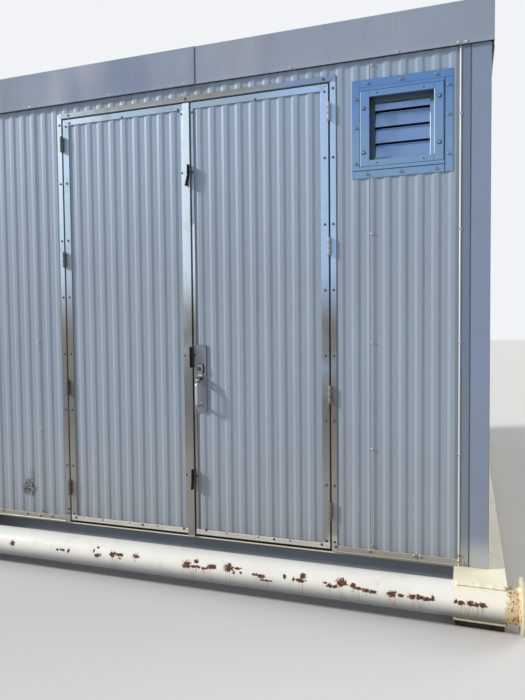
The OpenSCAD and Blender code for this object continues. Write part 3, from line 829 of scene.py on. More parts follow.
@dataclass(frozen=True)
class PlainCoat(Finish):
    """Even satin coat with light handling marks.

    Attributes:
        colour: The coat.
        marks: Colour of scuffs and dirt.
        rough: Roughness of a clean place.
        wear: How strong the scuffs are.
    """

    colour: Colour = srgb(214, 216, 214)
    marks: Colour = srgb(120, 116, 108)
    rough: float = 0.48
    wear: float = 0.22

    def graph(self) -> bpy.types.Material:
        """Makes the material.

        Returns:
            The material.
        """
        g = Graph(self.name)
        broad = g.range(g.noise(1.6, 4.0), 0.3, 0.7)
        scuff = g.range(g.noise(19.0, 6.0, (1, 1, 2.5), 0.65), 0.56, 0.72)
        tone = g.mix(broad, self.colour, tuple(c * 0.92 for c in self.colour))
        tone = g.layer(tone, scuff, self.wear, self.marks)
        rough = g.math("MULTIPLY_ADD", scuff, 0.2, self.rough)
        return g.dress(Base_Color=tone, Roughness=rough, Normal=g.bump(g.noise(240.0, 3.0), 0.12, 0.0004))


@dataclass(frozen=True)
class Plywood(Finish):
    """Worn floor ply with a long grain and darker feet marks.

    Attributes:
        colour: The wood.
        dark: The grain and the worn paths.
    """

    colour: Colour = srgb(170, 138, 98)
    dark: Colour = srgb(104, 78, 52)

    def graph(self) -> bpy.types.Material:
        """Makes the material.

        Returns:
            The material.
        """
        g = Graph(self.name)
        grain = g.range(g.noise(5.0, 6.0, (22, 1.2, 22), 0.6), 0.35, 0.70)
        worn = g.range(g.noise(1.5, 5.0), 0.40, 0.66)
        tone = g.layer(self.colour, grain, 0.75, self.dark)
        tone = g.layer(tone, worn, 0.45, WORN_PATH)
        rough = g.math("MULTIPLY_ADD", grain, 0.2, 0.58)
        return g.dress(Base_Color=tone, Roughness=rough, Normal=g.bump(grain, 0.35, 0.0006))


@dataclass(frozen=True)
class CylinderFace(Finish):
    """Face of a lock cylinder: a bright ring and a browned plug with its keyway, on a dull collar edged in
    painted shade.

    Attributes:
        middle: The cylinder's middle along X and Z.
        plug: Radius of the plug.
        ring: Radius of the ring.
        collar: Half width and half height of the collar inside its edge of painted shade.
    """

    middle: Pair = (0.062, 1.025)
    plug: float = 0.0118
    ring: float = 0.0150
    collar: Pair = (0.0155, 0.0215)

    def graph(self) -> bpy.types.Material:
        """Makes the material.

        Returns:
            The material.
        """
        g = Graph(self.name)
        across = g.math("ABSOLUTE", g.math("SUBTRACT", g.axis(Axis.X), self.middle[0]))
        up = g.math("ABSOLUTE", g.math("SUBTRACT", g.axis(Axis.Z), self.middle[1]))
        square = g.math("ADD", g.math("MULTIPLY", across, across), g.math("MULTIPLY", up, up))
        radius = g.math("SQRT", square)
        smudge = g.range(g.noise(110.0, 4.0), 0.42, 0.66)
        wide, tall = self.collar
        edges = g.range(across, wide, wide + 0.0010), g.range(up, tall, tall + 0.0010)
        # Painted shade round the collar's edge, where it meets the plate.
        rim = g.math("MAXIMUM", *edges)
        tone = g.mix(rim, COLLAR_GREY, COLLAR_RIM_SHADE)
        tone = g.mix(g.range(radius, self.ring + 0.0004, self.ring), tone, RING_BRIGHT)
        tone = g.mix(g.range(radius, self.plug + 0.0005, self.plug), tone, PLUG_BROWN)
        slot = g.math("MULTIPLY", g.range(across, 0.0014, 0.0010), g.range(up, 0.0068, 0.0062))
        tone = g.mix(slot, tone, KEYWAY)
        tone = g.layer(tone, smudge, 0.25, FINGER_MARKS)
        rough = g.math("MULTIPLY_ADD", smudge, 0.22, 0.24)
        normal = g.bump(g.noise(300.0, 3.0), 0.12, 0.0002)
        return g.dress(Base_Color=tone, Roughness=rough, Metallic=0.8, Normal=normal)


@dataclass(frozen=True)
class Rubber(Finish):
    """Black seal rubber, greyed by dust."""

    def graph(self) -> bpy.types.Material:
        """Makes the material.

        Returns:
            The material.
        """
        g = Graph(self.name)
        dust = g.range(g.noise(30.0, 5.0), 0.40, 0.72)
        tone = g.layer(RUBBER_BLACK, dust, 0.5, RUBBER_DUST)
        return g.dress(Base_Color=tone, Roughness=0.72, Normal=g.bump(g.noise(400.0, 3.0), 0.2, 0.0003))


def ring_faces(rings: int, sides: int) -> list[tuple[int, ...]]:
    """Lists the four-sided faces between rings of points that are numbered in order.

    Args:
        rings: Number of rings.
        sides: Number of points in each.

    Returns:
        The faces, as indices of their corners.
    """
    return [
        (r * sides + i, r * sides + (i + 1) % sides, (r + 1) * sides + (i + 1) % sides, (r + 1) * sides + i)
        for r in range(rings - 1)
        for i in range(sides)
    ]


class MeshBag:
    """Gathers faces from many small shapes into one piece."""

    def __init__(self, name: str, body: Body, slot: Slot) -> None:
        """Starts an empty piece.

        Args:
            name: Name of the piece.
            body: The moving part that it rides on.
            slot: The record's material slot; it is not used.
        """
        self.name, self.body, self.slot = name, body, slot.value
        self.points: list[Vector] = []
        self.faces: list[tuple[int, ...]] = []
        self.smooth: list[bool] = []

    def add(
        self,
        points: Iterable[Vector],
        faces: Iterable[Sequence[int]],
        place: Matrix | None = None,
        smooth: bool = False,
    ) -> None:
        """Adds one shape.

        Args:
            points: Its points.
            faces: Its faces, as indices into the points.
            place: Where it goes.
            smooth: Whether its faces are shaded smooth.
        """
        start = len(self.points)
        self.points += [place @ Vector(p) if place else Vector(p) for p in points]
        for face in faces:
            self.faces.append(tuple(start + i for i in face))
            self.smooth.append(smooth)

    def sweep(self, rings: Sequence[Sequence[Vector]], smooth: bool = False) -> None:
        """Adds a skin through closed rings of equal length, capped at both ends.

        Args:
            rings: The rings in order.
            smooth: Whether the sides are shaded smooth.
        """
        start, count = len(self.points), len(rings[0])
        self.add([p for ring in rings for p in ring], ring_faces(len(rings), count), smooth=smooth)
        last = start + (len(rings) - 1) * count
        self.faces += [tuple(range(start + count - 1, start - 1, -1)), tuple(range(last, last + count))]
        self.smooth += [False, False]

    def block(self, one: Vector, other: Vector) -> None:
        """Adds a rectangular bar between two opposite corners.

        Args:
            one: One corner.
            other: The opposite corner.
        """
        (left, right), (near, far), heights = (sorted(pair) for pair in zip(one, other))
        ring = [(left, near), (right, near), (right, far), (left, far)]
        self.sweep([[Vector((x, y, z)) for x, y in ring] for z in heights])

    def make(self, finish: Finish, bevel: float = 0.0, crease: float = 0.0) -> bpy.types.Object:
        """Makes the piece and lets it ride on its body.

        Args:
            finish: Its finish.
            bevel: Width of its rounded edges, or 0 for none.
            crease: Angle in degrees over which an edge of a smooth piece stays hard, or 0 for none.

        Returns:
            The new object.
        """
        mesh = bpy.data.meshes.new(self.name)
        mesh.from_pydata(self.points, [], self.faces)
        mesh.polygons.foreach_set("use_smooth", self.smooth)
        mesh.materials.append(finish.material)
        piece = bpy.data.objects.new(self.name, mesh)
        bpy.context.scene.collection.objects.link(piece)
        orient(piece)
        if crease:
            mesh.polygons.foreach_set("use_smooth", [True] * len(mesh.polygons))
            mesh.set_sharp_from_angle(angle=math.radians(crease))
        if bevel:
            soften(piece, bevel, weld=False)
        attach(piece, self.body.value)
        LOG.info("piece %s: %d faces", self.name, len(self.faces))
        return piece


def orient(piece: bpy.types.Object) -> None:
    """Turns all faces of a closed mesh outward.

    Args:
        piece: The object that has the mesh.
    """
    shape = bmesh.new()
    shape.from_mesh(piece.data)
    bmesh.ops.recalc_face_normals(shape, faces=shape.faces)
    shape.to_mesh(piece.data)
    shape.free()


def soften(piece: bpy.types.Object, width: float, weld: bool = True) -> None:
    """Rounds a piece's hard edges with modifiers, so that they catch the light.

    Args:
        piece: The piece.
        width: Width of the rounding.
        weld: Whether split corners are joined first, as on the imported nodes.
    """
    if weld:
        join = piece.modifiers.new("join", "WELD")
        join.merge_threshold = JOIN_REACH
    bevel = piece.modifiers.new("round", "BEVEL")
    bevel.width, bevel.segments = width, 2
    bevel.limit_method, bevel.angle_limit = "ANGLE", math.radians(HARD_ANGLE)
    bevel.harden_normals = True


def dress(finish: Finish, names: Iterable[str], bevel: float = 0.0) -> None:
    """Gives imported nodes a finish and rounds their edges.

    Args:
        finish: The finish.
        names: The nodes.
        bevel: Width of the rounded edges, or 0 for none.
    """
    for name in names:
        node = NODES[name]
        node.data.materials.clear()
        node.data.materials.append(finish.material)
        if bevel:
            soften(node, bevel)
        LOG.info("node %s: %s", name, finish.name)


def facing(point: Vector, normal: Vector, turn: float = 0.0) -> Matrix:
    """Gives the matrix that stands a shape's own Z along a normal at a point.

    Args:
        point: Where the shape's origin goes.
        normal: Where its Z points.
        turn: Turn about that Z, in radians.

    Returns:
        The matrix.
    """
    stand = normal.to_track_quat("Z", "Y").to_matrix().to_4x4()
    return Matrix.Translation(point) @ stand @ Matrix.Rotation(turn, 4, "Z")


def turned(profile: Sequence[Pair], sides: int) -> tuple[list[Vector], list[tuple[int, ...]]]:
    """Turns a shape from a profile of (radius, height) pairs, capped at both ends.

    Args:
        profile: The pairs, from the foot up.
        sides: Number of sides.

    Returns:
        Its points and faces.
    """
    points = [
        Vector((r * math.cos(math.tau * k / sides), r * math.sin(math.tau * k / sides), z))
        for r, z in profile
        for k in range(sides)
    ]
    top = (len(profile) - 1) * sides
    caps = [tuple(range(top, top + sides)), tuple(range(sides - 1, -1, -1))]
    return points, ring_faces(len(profile), sides) + caps


def mitre(bag: MeshBag, start: Pair, end: Pair, width: float = 0.0011) -> None:
    """Adds the thin dark seam of a mitred corner on the front's trims.

    Args:
        bag: The piece to add it to.
        start: One end, as (x, z).
        end: The other end.
        width: Width of the seam.
    """
    a, b = (Side.FRONT.point(along, 0, height) for along, height in (start, end))
    across = (b - a).cross(Side.FRONT.outward).normalized() * width / 2
    proud = Side.FRONT.outward * SEAM_RISE
    bag.sweep([
        [p - across + proud, p + across + proud, p + across - proud * 3, p - across - proud * 3]
        for p in (a, b)
    ])


@dataclass
class Screws:
    """A group of screws on one body.

    Attributes:
        name: Name of the piece.
        body: The moving part that they ride on.
        slot: The record's material slot.
        finish: Their finish.
        seed: Seed of the heads' turns.
        count: How many there are so far.
    """

    name: str
    body: Body
    slot: Slot
    finish: Finish
    seed: int = 1
    count: int = 0

    def __post_init__(self) -> None:
        """Starts the piece."""
        self.bag = MeshBag(self.name, self.body, self.slot)
        self.random = random.Random(self.seed)

    def at(self, point: Vector, normal: Vector, head: Head = Head.HEX) -> None:
        """Sets one screw.

        Args:
            point: Where its head's underside is.
            normal: Where its head points.
            head: Its kind.
        """
        radius, height = head.value
        place = facing(point, normal, self.random.uniform(0, math.tau))
        if head is Head.HEX:
            washer, edge = radius * 1.32, 0.0010
            disc = [(washer, 0), (washer, edge * 0.6), (washer - edge, edge), (radius * 1.05, edge * 1.2)]
            self.bag.add(*turned(disc, 18), place, smooth=True)
            corner = radius / math.cos(math.pi / 6)
            nut = [(corner, 0), (corner, height - 0.0007), (corner - 0.0009, height)]
            self.bag.add(*turned(nut, 6), place)
        else:
            shares = ((1.0, 0.0), (1.0, 0.25), (0.93, 0.6), (0.72, 0.9), (0.35, 1.0))
            dome = [(radius * wide, height * tall) for wide, tall in shares]
            self.bag.add(*turned(dome, 16), place, smooth=True)
        self.count += 1

    def done(self) -> bpy.types.Object:
        """Makes the piece."""
        LOG.info("%d screws in %s", self.count, self.name)
        return self.bag.make(self.finish)


# Where colours end: under, over and beside all trims, at the leaves' hung edges and at the head trim.
LOWEST, HIGHEST, ASIDE = 0.10, 3.0, 2.0
LEAF_EDGE = 0.698
HEAD_TRIM = 2.2975
BOTH_LEAVES = Span(Axis.X, -LEAF_EDGE, LEAF_EDGE)
CLADDING = SheetPaint(
    "cladding_coat",
    stains=(Patch((-0.962, WALL.front, 0.366), (0.052, 0.05, 0.058)),),
    films=(
        Patch((-0.945, WALL.front, 0.43), (0.030, 0.05, 0.045)),
        Patch((0.06, WALL.front, 2.350), (0.085, 0.05, 0.026)),
        Patch((-0.36, WALL.front, 2.352), (0.14, 0.05, 0.012)),
    ),
)
VENT_HEM_HIGHLIGHT = srgb(240, 238, 232)
CORNER_HEM_HIGHLIGHT = srgb(218, 218, 212)
SEAM_SHADOW = srgb(62, 64, 70)
FLASHING = BrushedSheet(
    "flashing_sheet",
    colour=srgb(114, 128, 150), metal=0.2, shine=0.45, low=srgb(122, 130, 140), fade=(1.2, 0.3),
    zones=(
        # Dust at the foot, then painted highlights on the lit hems beside the corners.
        Zone(Axis.Z, 0.19, 0.235, srgb(168, 168, 164), 0.7, 0.12),
        Zone(Axis.X, 1.2484, 1.2540, CORNER_HEM_HIGHLIGHT, both=True),
        Zone(Axis.Y, 1.7074, 1.7130, CORNER_HEM_HIGHLIGHT, both=True),
    ),
)
POST = replace(
    FLASHING, name="corner_post_sheet", colour=srgb(131, 145, 170), low=srgb(130, 140, 156),
    zones=(
        # Dust at the foot, then painted shadow of the flashings' edges on the posts, along their seams.
        Zone(Axis.Z, 0.19, 0.235, srgb(188, 190, 190), 0.7, 0.12),
        Zone(Axis.X, 1.286, 1.2935, SEAM_SHADOW, 0.85, 0.003, both=True),
        Zone(Axis.Y, 1.745, 1.7525, SEAM_SHADOW, 0.85, 0.003, both=True),
    ),
)
FOOT_TRIM = BrushedSheet(
    "foot_trim_sheet",
    colour=srgb(172, 178, 182), grain=Grain.ACROSS, metal=0.4, low=srgb(166, 162, 154), fade=(0.5, 0.2),
    zones=(
        # The upper hem, pale with dirt and a painted highlight on its lit lip, the dark line at the foot,
        # then the joints of the front trims.
        Zone(Axis.Z, 0.2275, 0.2310, srgb(206, 190, 160), 0.8),
        Zone(Axis.Z, 0.2000, 0.2025, srgb(70, 60, 50), 0.8),
        Zone(Axis.X, 1.0803, 1.0823, srgb(52, 46, 40), 0.85, only=Span(Axis.Y, -3.0, -1.0)),
    ),
)
GALVANISED = GalvanisedSheet("galvanised_sheet")
# Painted reflection: a lighter grey that the trims take near the ground.
FOOT_REFLECTION = Zone(Axis.Z, LOWEST, 0.42, srgb(152, 150, 145), 0.75, 0.45)
# The bright trims darken from 1.52 m down to 1.18 m: painted reflection of the dark ground.
TRIM_UP = BrushedSheet(
    "bright_trim",
    colour=srgb(196, 212, 224), low=srgb(114, 112, 108), fade=(1.52, 1.18), shine=0.38, metal=0.75,
    films=(
        Patch((0.10, WALL.front, 2.318), (0.40, 0.05, 0.016)),
        Patch((-0.30, WALL.front, 2.318), (0.25, 0.05, 0.014)),
    ),
    tints=(
        # The upper half of all uprights, a darker blue painted reflection, which ends along the mitres.
        Zone(Axis.Z, 1.689, HIGHEST, srgb(134, 154, 172), 0.9, 0.0008, lean=0.87),
        # The bluer right side, the left side and the left leaf's hung stile, all painted reflection.
        Zone(Axis.X, 0.62, ASIDE, srgb(158, 186, 224), 0.85, 0.35),
        Zone(Axis.X, -ASIDE, -0.66, srgb(160, 178, 192), 0.8, 0.30),
        Zone(Axis.X, -LEAF_EDGE, -0.660, srgb(142, 164, 184), 0.6, 0.001),
        # The frame's head trim, a darker grey, with a bluer painted reflection at the right.
        Zone(Axis.Z, HEAD_TRIM, HIGHEST, srgb(130, 140, 146), 0.75, 0.0008, only=Span(Axis.X, -0.704, 0.704)),
        Zone(
            Axis.Z, HEAD_TRIM, HIGHEST, srgb(112, 134, 172), 0.75, 0.0008,
            only=Span(Axis.X, 0.62, 0.704, 0.35),
        ),
    ),
    zones=(
        FOOT_REFLECTION,
        # Painted light on the leaves' foot rails, then on the feet of the frame's right and left trims.
        Zone(Axis.Z, LOWEST, 0.241, srgb(226, 225, 218), 0.9, 0.002, only=BOTH_LEAVES),
        Zone(Axis.Z, LOWEST, 0.262, srgb(206, 204, 194), 0.6, 0.03, only=Span(Axis.X, 0.70, ASIDE)),
        Zone(Axis.Z, LOWEST, 0.232, srgb(190, 188, 180), 0.5, 0.02, only=Span(Axis.X, -ASIDE, -0.70)),
        # Lines along the foot rails: the brown upper hem, dirt and painted shadow; the pale fold; and painted
        # shadow of the gap under it.
        Zone(Axis.Z, 0.2370, 0.2400, srgb(150, 128, 104), 0.75, only=Span(Axis.X, -0.66, 0.66)),
        Zone(Axis.Z, 0.2250, 0.2272, srgb(178, 178, 174), 0.6, only=Span(Axis.X, -0.69, 0.69)),
        Zone(Axis.Z, 0.2090, 0.2124, srgb(38, 36, 34), 0.9, only=BOTH_LEAVES),
    ),
)
STRIP_UP = replace(
    TRIM_UP, name="meeting_trim", tints=(),
    zones=(FOOT_REFLECTION, Zone(Axis.Z, LOWEST, 0.204, srgb(206, 196, 174), 0.9, 0.003)),
)
PAN_LOW, PAN_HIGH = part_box("vent_frame")
PAN_FOLD = PAN_LOW.y + 0.004
PAN_WIDTH = Span(Axis.X, PAN_LOW.x, PAN_HIGH.x)
STRIP_TOP = (PAN_LOW.z + PAN_HIGH.z) / 2 + (PAN_HIGH.x - PAN_LOW.x) / 2
STRIP_FOOT = PAN_LOW.z + PAN_HIGH.z - STRIP_TOP
SEAM_DARK_AND_SHADOW = srgb(32, 40, 56)
# The vent's sheet darkens and turns bluer towards the top: painted shade.
VENT_FRAME = BrushedSheet(
    "vent_frame_sheet",
    colour=srgb(122, 156, 194), grain=Grain.EVERY_WAY, metal=0.35, shine=0.38,
    low=srgb(98, 138, 188), fade=(1.92, 2.28),
    zones=(
        # Painted highlights on the lit hems at the left edge, at the right fold's inner edge and on the right
        # strip.
        Zone(Axis.X, PAN_LOW.x - 0.001, PAN_LOW.x + 0.0028, VENT_HEM_HIGHLIGHT, 0.85),
        Zone(
            Axis.X, PAN_HIGH.x - 0.061, PAN_HIGH.x - 0.0575, VENT_HEM_HIGHLIGHT, 0.85,
            only=Span(Axis.Z, PAN_LOW.z + 0.03, PAN_HIGH.z - 0.11),
        ),
        Zone(
            Axis.X, PAN_HIGH.x - 0.0425, PAN_HIGH.x - 0.0390, VENT_HEM_HIGHLIGHT, 0.80,
            only=Span(Axis.Z, PAN_LOW.z + 0.028, PAN_HIGH.z - 0.028),
        ),
        # Painted shade on the insides of the pan's left wall and of its top.
        Zone(
            Axis.Y, PAN_FOLD, 0.0, srgb(44, 58, 76), 0.85, 0.002,
            only=Span(Axis.X, 0.0, PAN_LOW.x + 0.060),
        ),
        Zone(
            Axis.Y, PAN_FOLD, 0.0, srgb(66, 62, 56), 0.75, 0.002,
            only=Span(Axis.Z, PAN_HIGH.z - 0.060, HIGHEST),
        ),
    ),
)
VENT_STRIP = replace(
    VENT_FRAME, name="vent_strip_sheet", low=srgb(88, 130, 184),
    zones=(
        # Painted shadow of the proud pan along its right and lower edges, a dark gap along its top, and the
        # dark joint where one strip laps the next.
        Zone(Axis.X, PAN_HIGH.x, PAN_HIGH.x + 0.0032, SEAM_DARK_AND_SHADOW, 0.9, only=Span(Axis.Z, 0.0, STRIP_TOP)),
        Zone(Axis.Z, STRIP_FOOT - 0.0030, STRIP_FOOT, SEAM_DARK_AND_SHADOW, 0.9, only=Span(Axis.X, 0.0, PAN_HIGH.x)),
        Zone(Axis.Z, PAN_LOW.z - 0.0012, PAN_LOW.z, SEAM_DARK_AND_SHADOW, 0.6, only=PAN_WIDTH),
        Zone(Axis.Z, PAN_HIGH.z, PAN_HIGH.z + 0.0014, SEAM_DARK_AND_SHADOW, 0.8, only=PAN_WIDTH),
    ),
)
BLADE_SHEET = BrushedSheet(
    "blade_sheet",
    colour=srgb(124, 154, 200), grain=Grain.ACROSS, metal=0.9, shine=0.24, low=srgb(106, 132, 174),
    fade=(0.4, 0.2),
)
# Painted shade: the sleeve inside the vent's recess is a dark blue-grey.
SLEEVE_SHADE = replace(
    BLADE_SHEET, name="sleeve_painted_shade", colour=srgb(52, 60, 76), metal=0.3, shine=0.5, low=srgb(44, 50, 62)
)
HINGE = BrushedSheet(
    "hinge_dulled",
    colour=srgb(96, 100, 102), grain=Grain.EVERY_WAY, shine=0.5, metal=0.3, low=srgb(110, 104, 92),
    fade=(1.2, 0.3),
    tints=(
        # The right-hand hinges: painted reflection from the middle up, a lighter brown-grey below.
        Zone(Axis.X, 0.60, 0.80, srgb(168, 178, 190), 0.7, 0.02, only=Span(Axis.Z, 1.30, HIGHEST, 0.4)),
        Zone(Axis.X, 0.60, 0.80, srgb(146, 142, 134), 0.7, 0.02, only=Span(Axis.Z, 0.0, 1.30, 0.1)),
    ),
)
# Painted reflection: the plate is darkened for the dark ground and sky that it mirrors.
LOCK_PLATE = BrushedSheet(
    "lock_plate_steel", colour=srgb(126, 132, 140), low=srgb(120, 120, 120), fade=(0.5, 0.2)
)
LOCK = BrushedSheet(
    "lock_polished",
    colour=srgb(196, 202, 206), grain=Grain.EVERY_WAY, shine=0.18, metal=1.0, low=srgb(150, 146, 140),
    fade=(0.5, 0.2),
)
CYLINDER = CylinderFace("cylinder_face")
SCREW = BrushedSheet(
    "screw_zinc",
    colour=srgb(180, 182, 184), grain=Grain.EVERY_WAY, shine=0.28, low=srgb(150, 144, 134), fade=(0.6, 0.2),
)
VENT_SCREW = replace(SCREW, name="vent_screw_zinc", colour=srgb(132, 138, 140))
DARK_SCREW = replace(SCREW, name="screw_dulled", colour=srgb(88, 90, 94), shine=0.34, low=srgb(70, 66, 62))
FRAME_STEEL = PlainCoat("door_frame_coat", colour=srgb(120, 124, 128), marks=srgb(82, 76, 70))
LINING = PlainCoat("lining_coat")
LEAF = PlainCoat("leaf_coat", colour=srgb(196, 199, 200))
PRIMER = PlainCoat("joist_primer", colour=srgb(104, 106, 108), marks=srgb(96, 74, 58), wear=0.5)
# Rust and soil, darkened by painted shade under the skid.
SHOE = BareSteel(
    "shoe_rust_and_shade", light=srgb(64, 48, 38), dark=srgb(26, 22, 20), soil=srgb(70, 60, 48), soil_share=0.6
)
# Rust, near black: partly painted shade, for the bars' faces that lie in shade.
BAR = BareSteel("bar_rust_and_shade", light=srgb(58, 36, 28), dark=srgb(16, 13, 12))
FLOOR = Plywood("floor_ply")
SEAL = Rubber("seal_rubber")


@dataclass
class Skid:
    """Runners, cross members and towing pipes, with welds, chipped paint and mud.

    Attributes:
        pipe_r: Outer radius of the pipe.
        weld: Leg of the weld beads.
        weld_step: Distance between the sections of a bead.
        weld_ends: Places along X between which a pipe is welded to a flange.
        weld_sink: How deep a bead's root lies in the flange and in the pipe.
        disc_x: Place of the rusty blisters at the pipes' discs.
        roots: Rusty places at the flanges' upper edges, as (x, half length).
        chips: Rust patches along the pipe, as (x, half length, angle, half angle), with angles in
            degrees below the foremost line.
        rust_runs: Places where rusty water has run down the pipe, as (x, half width).
    """

    pipe_r: float = 0.070
    weld: float = 0.011
    weld_step: float = 0.003
    weld_ends: Pair = (1.238, 1.432)
    weld_sink: Pair = (0.0005, 0.0015)
    disc_x: float = 1.462
    roots: tuple[Pair, ...] = ((1.424, 0.026), (1.243, 0.012))
    chips: tuple[tuple[float, float, float, float], ...] = (
        (-0.405, 0.017, -10, 7), (-0.428, 0.006, -25, 8), (-0.408, 0.006, -39, 4), (-0.323, 0.016, -20, 10),
        (-0.285, 0.021, -22, 6), (-0.280, 0.008, -10, 4), (-0.194, 0.016, -25, 8), (0.070, 0.021, -19, 13),
        (0.114, 0.011, -34, 7), (0.113, 0.026, -16, 5), (0.158, 0.017, -13, 4), (0.188, 0.019, -22, 8),
        (0.208, 0.007, -24, 8), (0.276, 0.020, -25, 13), (0.316, 0.018, -28, 4), (0.302, 0.005, -11, 5),
        (0.335, 0.006, -14, 4), (0.403, 0.015, -15, 4), (0.431, 0.018, -12, 7), (0.454, 0.028, 1, 3),
        (0.535, 0.007, -21, 7), (0.578, 0.006, -16, 7), (0.611, 0.021, -16, 6), (0.618, 0.014, -31, 7),
        (0.716, 0.010, -18, 4), (0.736, 0.014, -11, 7), (0.758, 0.012, -10, 5), (0.784, 0.022, -26, 14),
        (0.835, 0.014, -20, 8), (0.858, 0.015, -14, 5), (0.889, 0.018, -11, 6), (0.918, 0.016, -9, 6),
        (0.993, 0.019, -11, 10), (1.031, 0.014, -10, 5), (1.075, 0.017, -10, 7), (1.106, 0.020, -11, 7),
        (1.137, 0.017, -9, 6), (1.156, 0.006, -14, 10), (1.244, 0.009, -14, 6), (1.263, 0.014, -11, 6),
        (1.298, 0.011, -12, 8), (1.320, 0.014, -11, 6), (1.343, 0.016, -12, 8), (-0.911, 0.014, -13, 10),
        (-0.635, 0.007, -11, 4), (-0.618, 0.004, -14, 4), (-0.603, 0.010, -13, 5), (-0.571, 0.007, -13, 7),
        (-1.12, 0.016, -16, 7), (-1.20, 0.009, -22, 5),
    )
    rust_runs: tuple[Pair, ...] = (
        (0.09, 0.05), (0.19, 0.04), (0.28, 0.03), (0.61, 0.025), (0.79, 0.03),
        (0.86, 0.04), (1.0, 0.02), (1.10, 0.05), (1.31, 0.06), (-0.30, 0.05),
    )

    def __post_init__(self) -> None:
        """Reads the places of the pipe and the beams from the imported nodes."""
        low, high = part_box("pipe_discs")
        self.pipe_z = (low.z + high.z) / 2
        self.pipe_y = low.y + (high.z - low.z) / 2
        self.flange_y = -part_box("skid_beams")[0].y
        self.corners = [(sx, sy) for sx in (-1, 1) for sy in (-1, 1)]

    def on_pipe(self, x: float, half: float, angle: float, spread: float) -> Patch:
        """Lays a patch on the front of the pipe.

        Args:
            x: Its middle along the pipe.
            half: Half its length along the pipe.
            angle: Angle of its middle below the foremost line, in degrees.
            spread: Half its angle, in degrees.

        Returns:
            The patch.
        """
        turn = math.radians(angle)
        y = self.pipe_y - self.pipe_r * math.cos(turn)
        z = self.pipe_z - self.pipe_r * math.sin(turn)
        return Patch((x, y, z), (half, 0.05, self.pipe_r * math.radians(spread) * math.cos(turn) + 0.0005))

    def dress(self) -> None:
        """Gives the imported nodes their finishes."""
        chips = tuple(self.on_pipe(*chip) for chip in self.chips)
        far = tuple(
            self.mirrored(self.on_pipe(0.1 - 0.8 * x, half, angle + 14, spread))
            for x, half, angle, spread in self.chips[::3]
        )
        runs = tuple(
            self.on_pipe(x, half * 0.9, angle + spread + 9, 11)
            for x, half, angle, spread in self.chips
            if half > 0.013
        )
        runs += tuple(self.on_pipe(x, half, 20, 36) for x, half in self.rust_runs)
        ends = tuple(
            Patch((sx * self.disc_x, sy * self.pipe_y, self.pipe_z - 0.01), (0.050, 0.12, 0.10))
            for sx, sy in self.corners
        )
        roots = tuple(
            Patch((sx * x, sy * (0.004 - self.flange_y), 0.186), (half, 0.02, 0.012))
            for sx, sy in self.corners
            for x, half in self.roots
        )
        under = (
            # The welded ends beside the flanges, painted shade on the underside, and mud with painted shade
            # at its right end.
            Zone(Axis.X, 1.245, 1.60, srgb(246, 236, 206), 0.45, 0.015, both=True),
            Zone(Axis.Z, 0.0, 0.064, srgb(104, 106, 113), 0.88, 0.080),
            Zone(Axis.Z, 0.0, 0.060, srgb(92, 84, 74), 0.6, 0.04, only=Span(Axis.X, 1.2, 1.6)),
        )
        # Painted shade: the left beams' cream is darkened where the key lamp lights them most.
        dulled = (Zone(Axis.X, -1.60, -1.26, srgb(218, 210, 184), 0.9, 0.02),)
        edge_and_gap_shadow = (
            # The pale edge of the channels and painted shadow of the gap over it.
            Zone(Axis.Z, 0.193, 0.1985, srgb(236, 226, 198)),
            Zone(Axis.Z, 0.1992, 0.3, srgb(34, 33, 32), 0.95, 0.0004),
        )
        pipe = GlossPaint(
            "pipe_gloss", colour=srgb(242, 240, 232), rust=chips + far, runs=runs, freckles=ends, zones=under
        )
        beam = GlossPaint(
            "beam_gloss", colour=srgb(250, 242, 214), freckles=roots + ends, mud_top=0.075, zones=dulled
        )
        disc = GlossPaint("disc_gloss", colour=srgb(222, 213, 180), freckles=ends, mud_top=0.06)
        # Painted shade: the channels' cream paint is made a darker blue-grey, and only their pale edge keeps
        # the cream.
        channel = GlossPaint("channel_shaded_gloss", colour=srgb(164, 171, 184), zones=edge_and_gap_shadow, mud_top=0.06)
        dress(pipe, ["cross_pipes"])
        dress(beam, ["skid_beams"], THICK_EDGE)
        dress(disc, ["pipe_discs"], THICK_EDGE)
        dress(channel, ["cross_channels"], THICK_EDGE)
        dress(SHOE, ["runner_shoes"], 0.002)
        dress(PRIMER, ["floor_joists"])
        dress(FLOOR, ["floor_deck"])

    @staticmethod
    def mirrored(patch: Patch) -> Patch:
        """Gives the same patch on the far pipe."""
        return Patch((patch.centre[0], -patch.centre[1], patch.centre[2]), patch.half)

    def bead(self, bag: MeshBag, start: Vector, end: Vector, out: Vector, up: Vector, seed: int) -> None:
        """Adds one weld bead, a ridge with the ripples of its passes.

        Args:
            bag: The piece to add it to.
            start: One end of its root.
            end: The other end.
            out: Direction of one leg.
            up: Direction of the other leg.
            seed: Seed of its unevenness.
        """
        count = max(4, round((end - start).length / self.weld_step))
        rings = []
        for i in range(count + 1):
            root = start.lerp(end, i / count)
            uneven = noise.noise(Vector((i * 0.17, seed * 7.3, 0)))
            ripple = 1 + 0.05 * math.cos(math.tau * i / 3) + 0.22 * uneven
            leg = self.weld * ripple * min(1.0, 0.35 + 1.6 * min(i, count - i) / 4)
            ring = [root - (out + up) * leg * 0.25]
            for k in range(7):
                turn = math.pi / 2 * k / 6
                bulge = 0.86 + 0.14 * abs(math.cos(2 * turn))
                ring.append(root + (out * math.cos(turn) + up * math.sin(turn)) * leg * bulge)
            rings.append(ring)
        bag.sweep(rings, smooth=True)

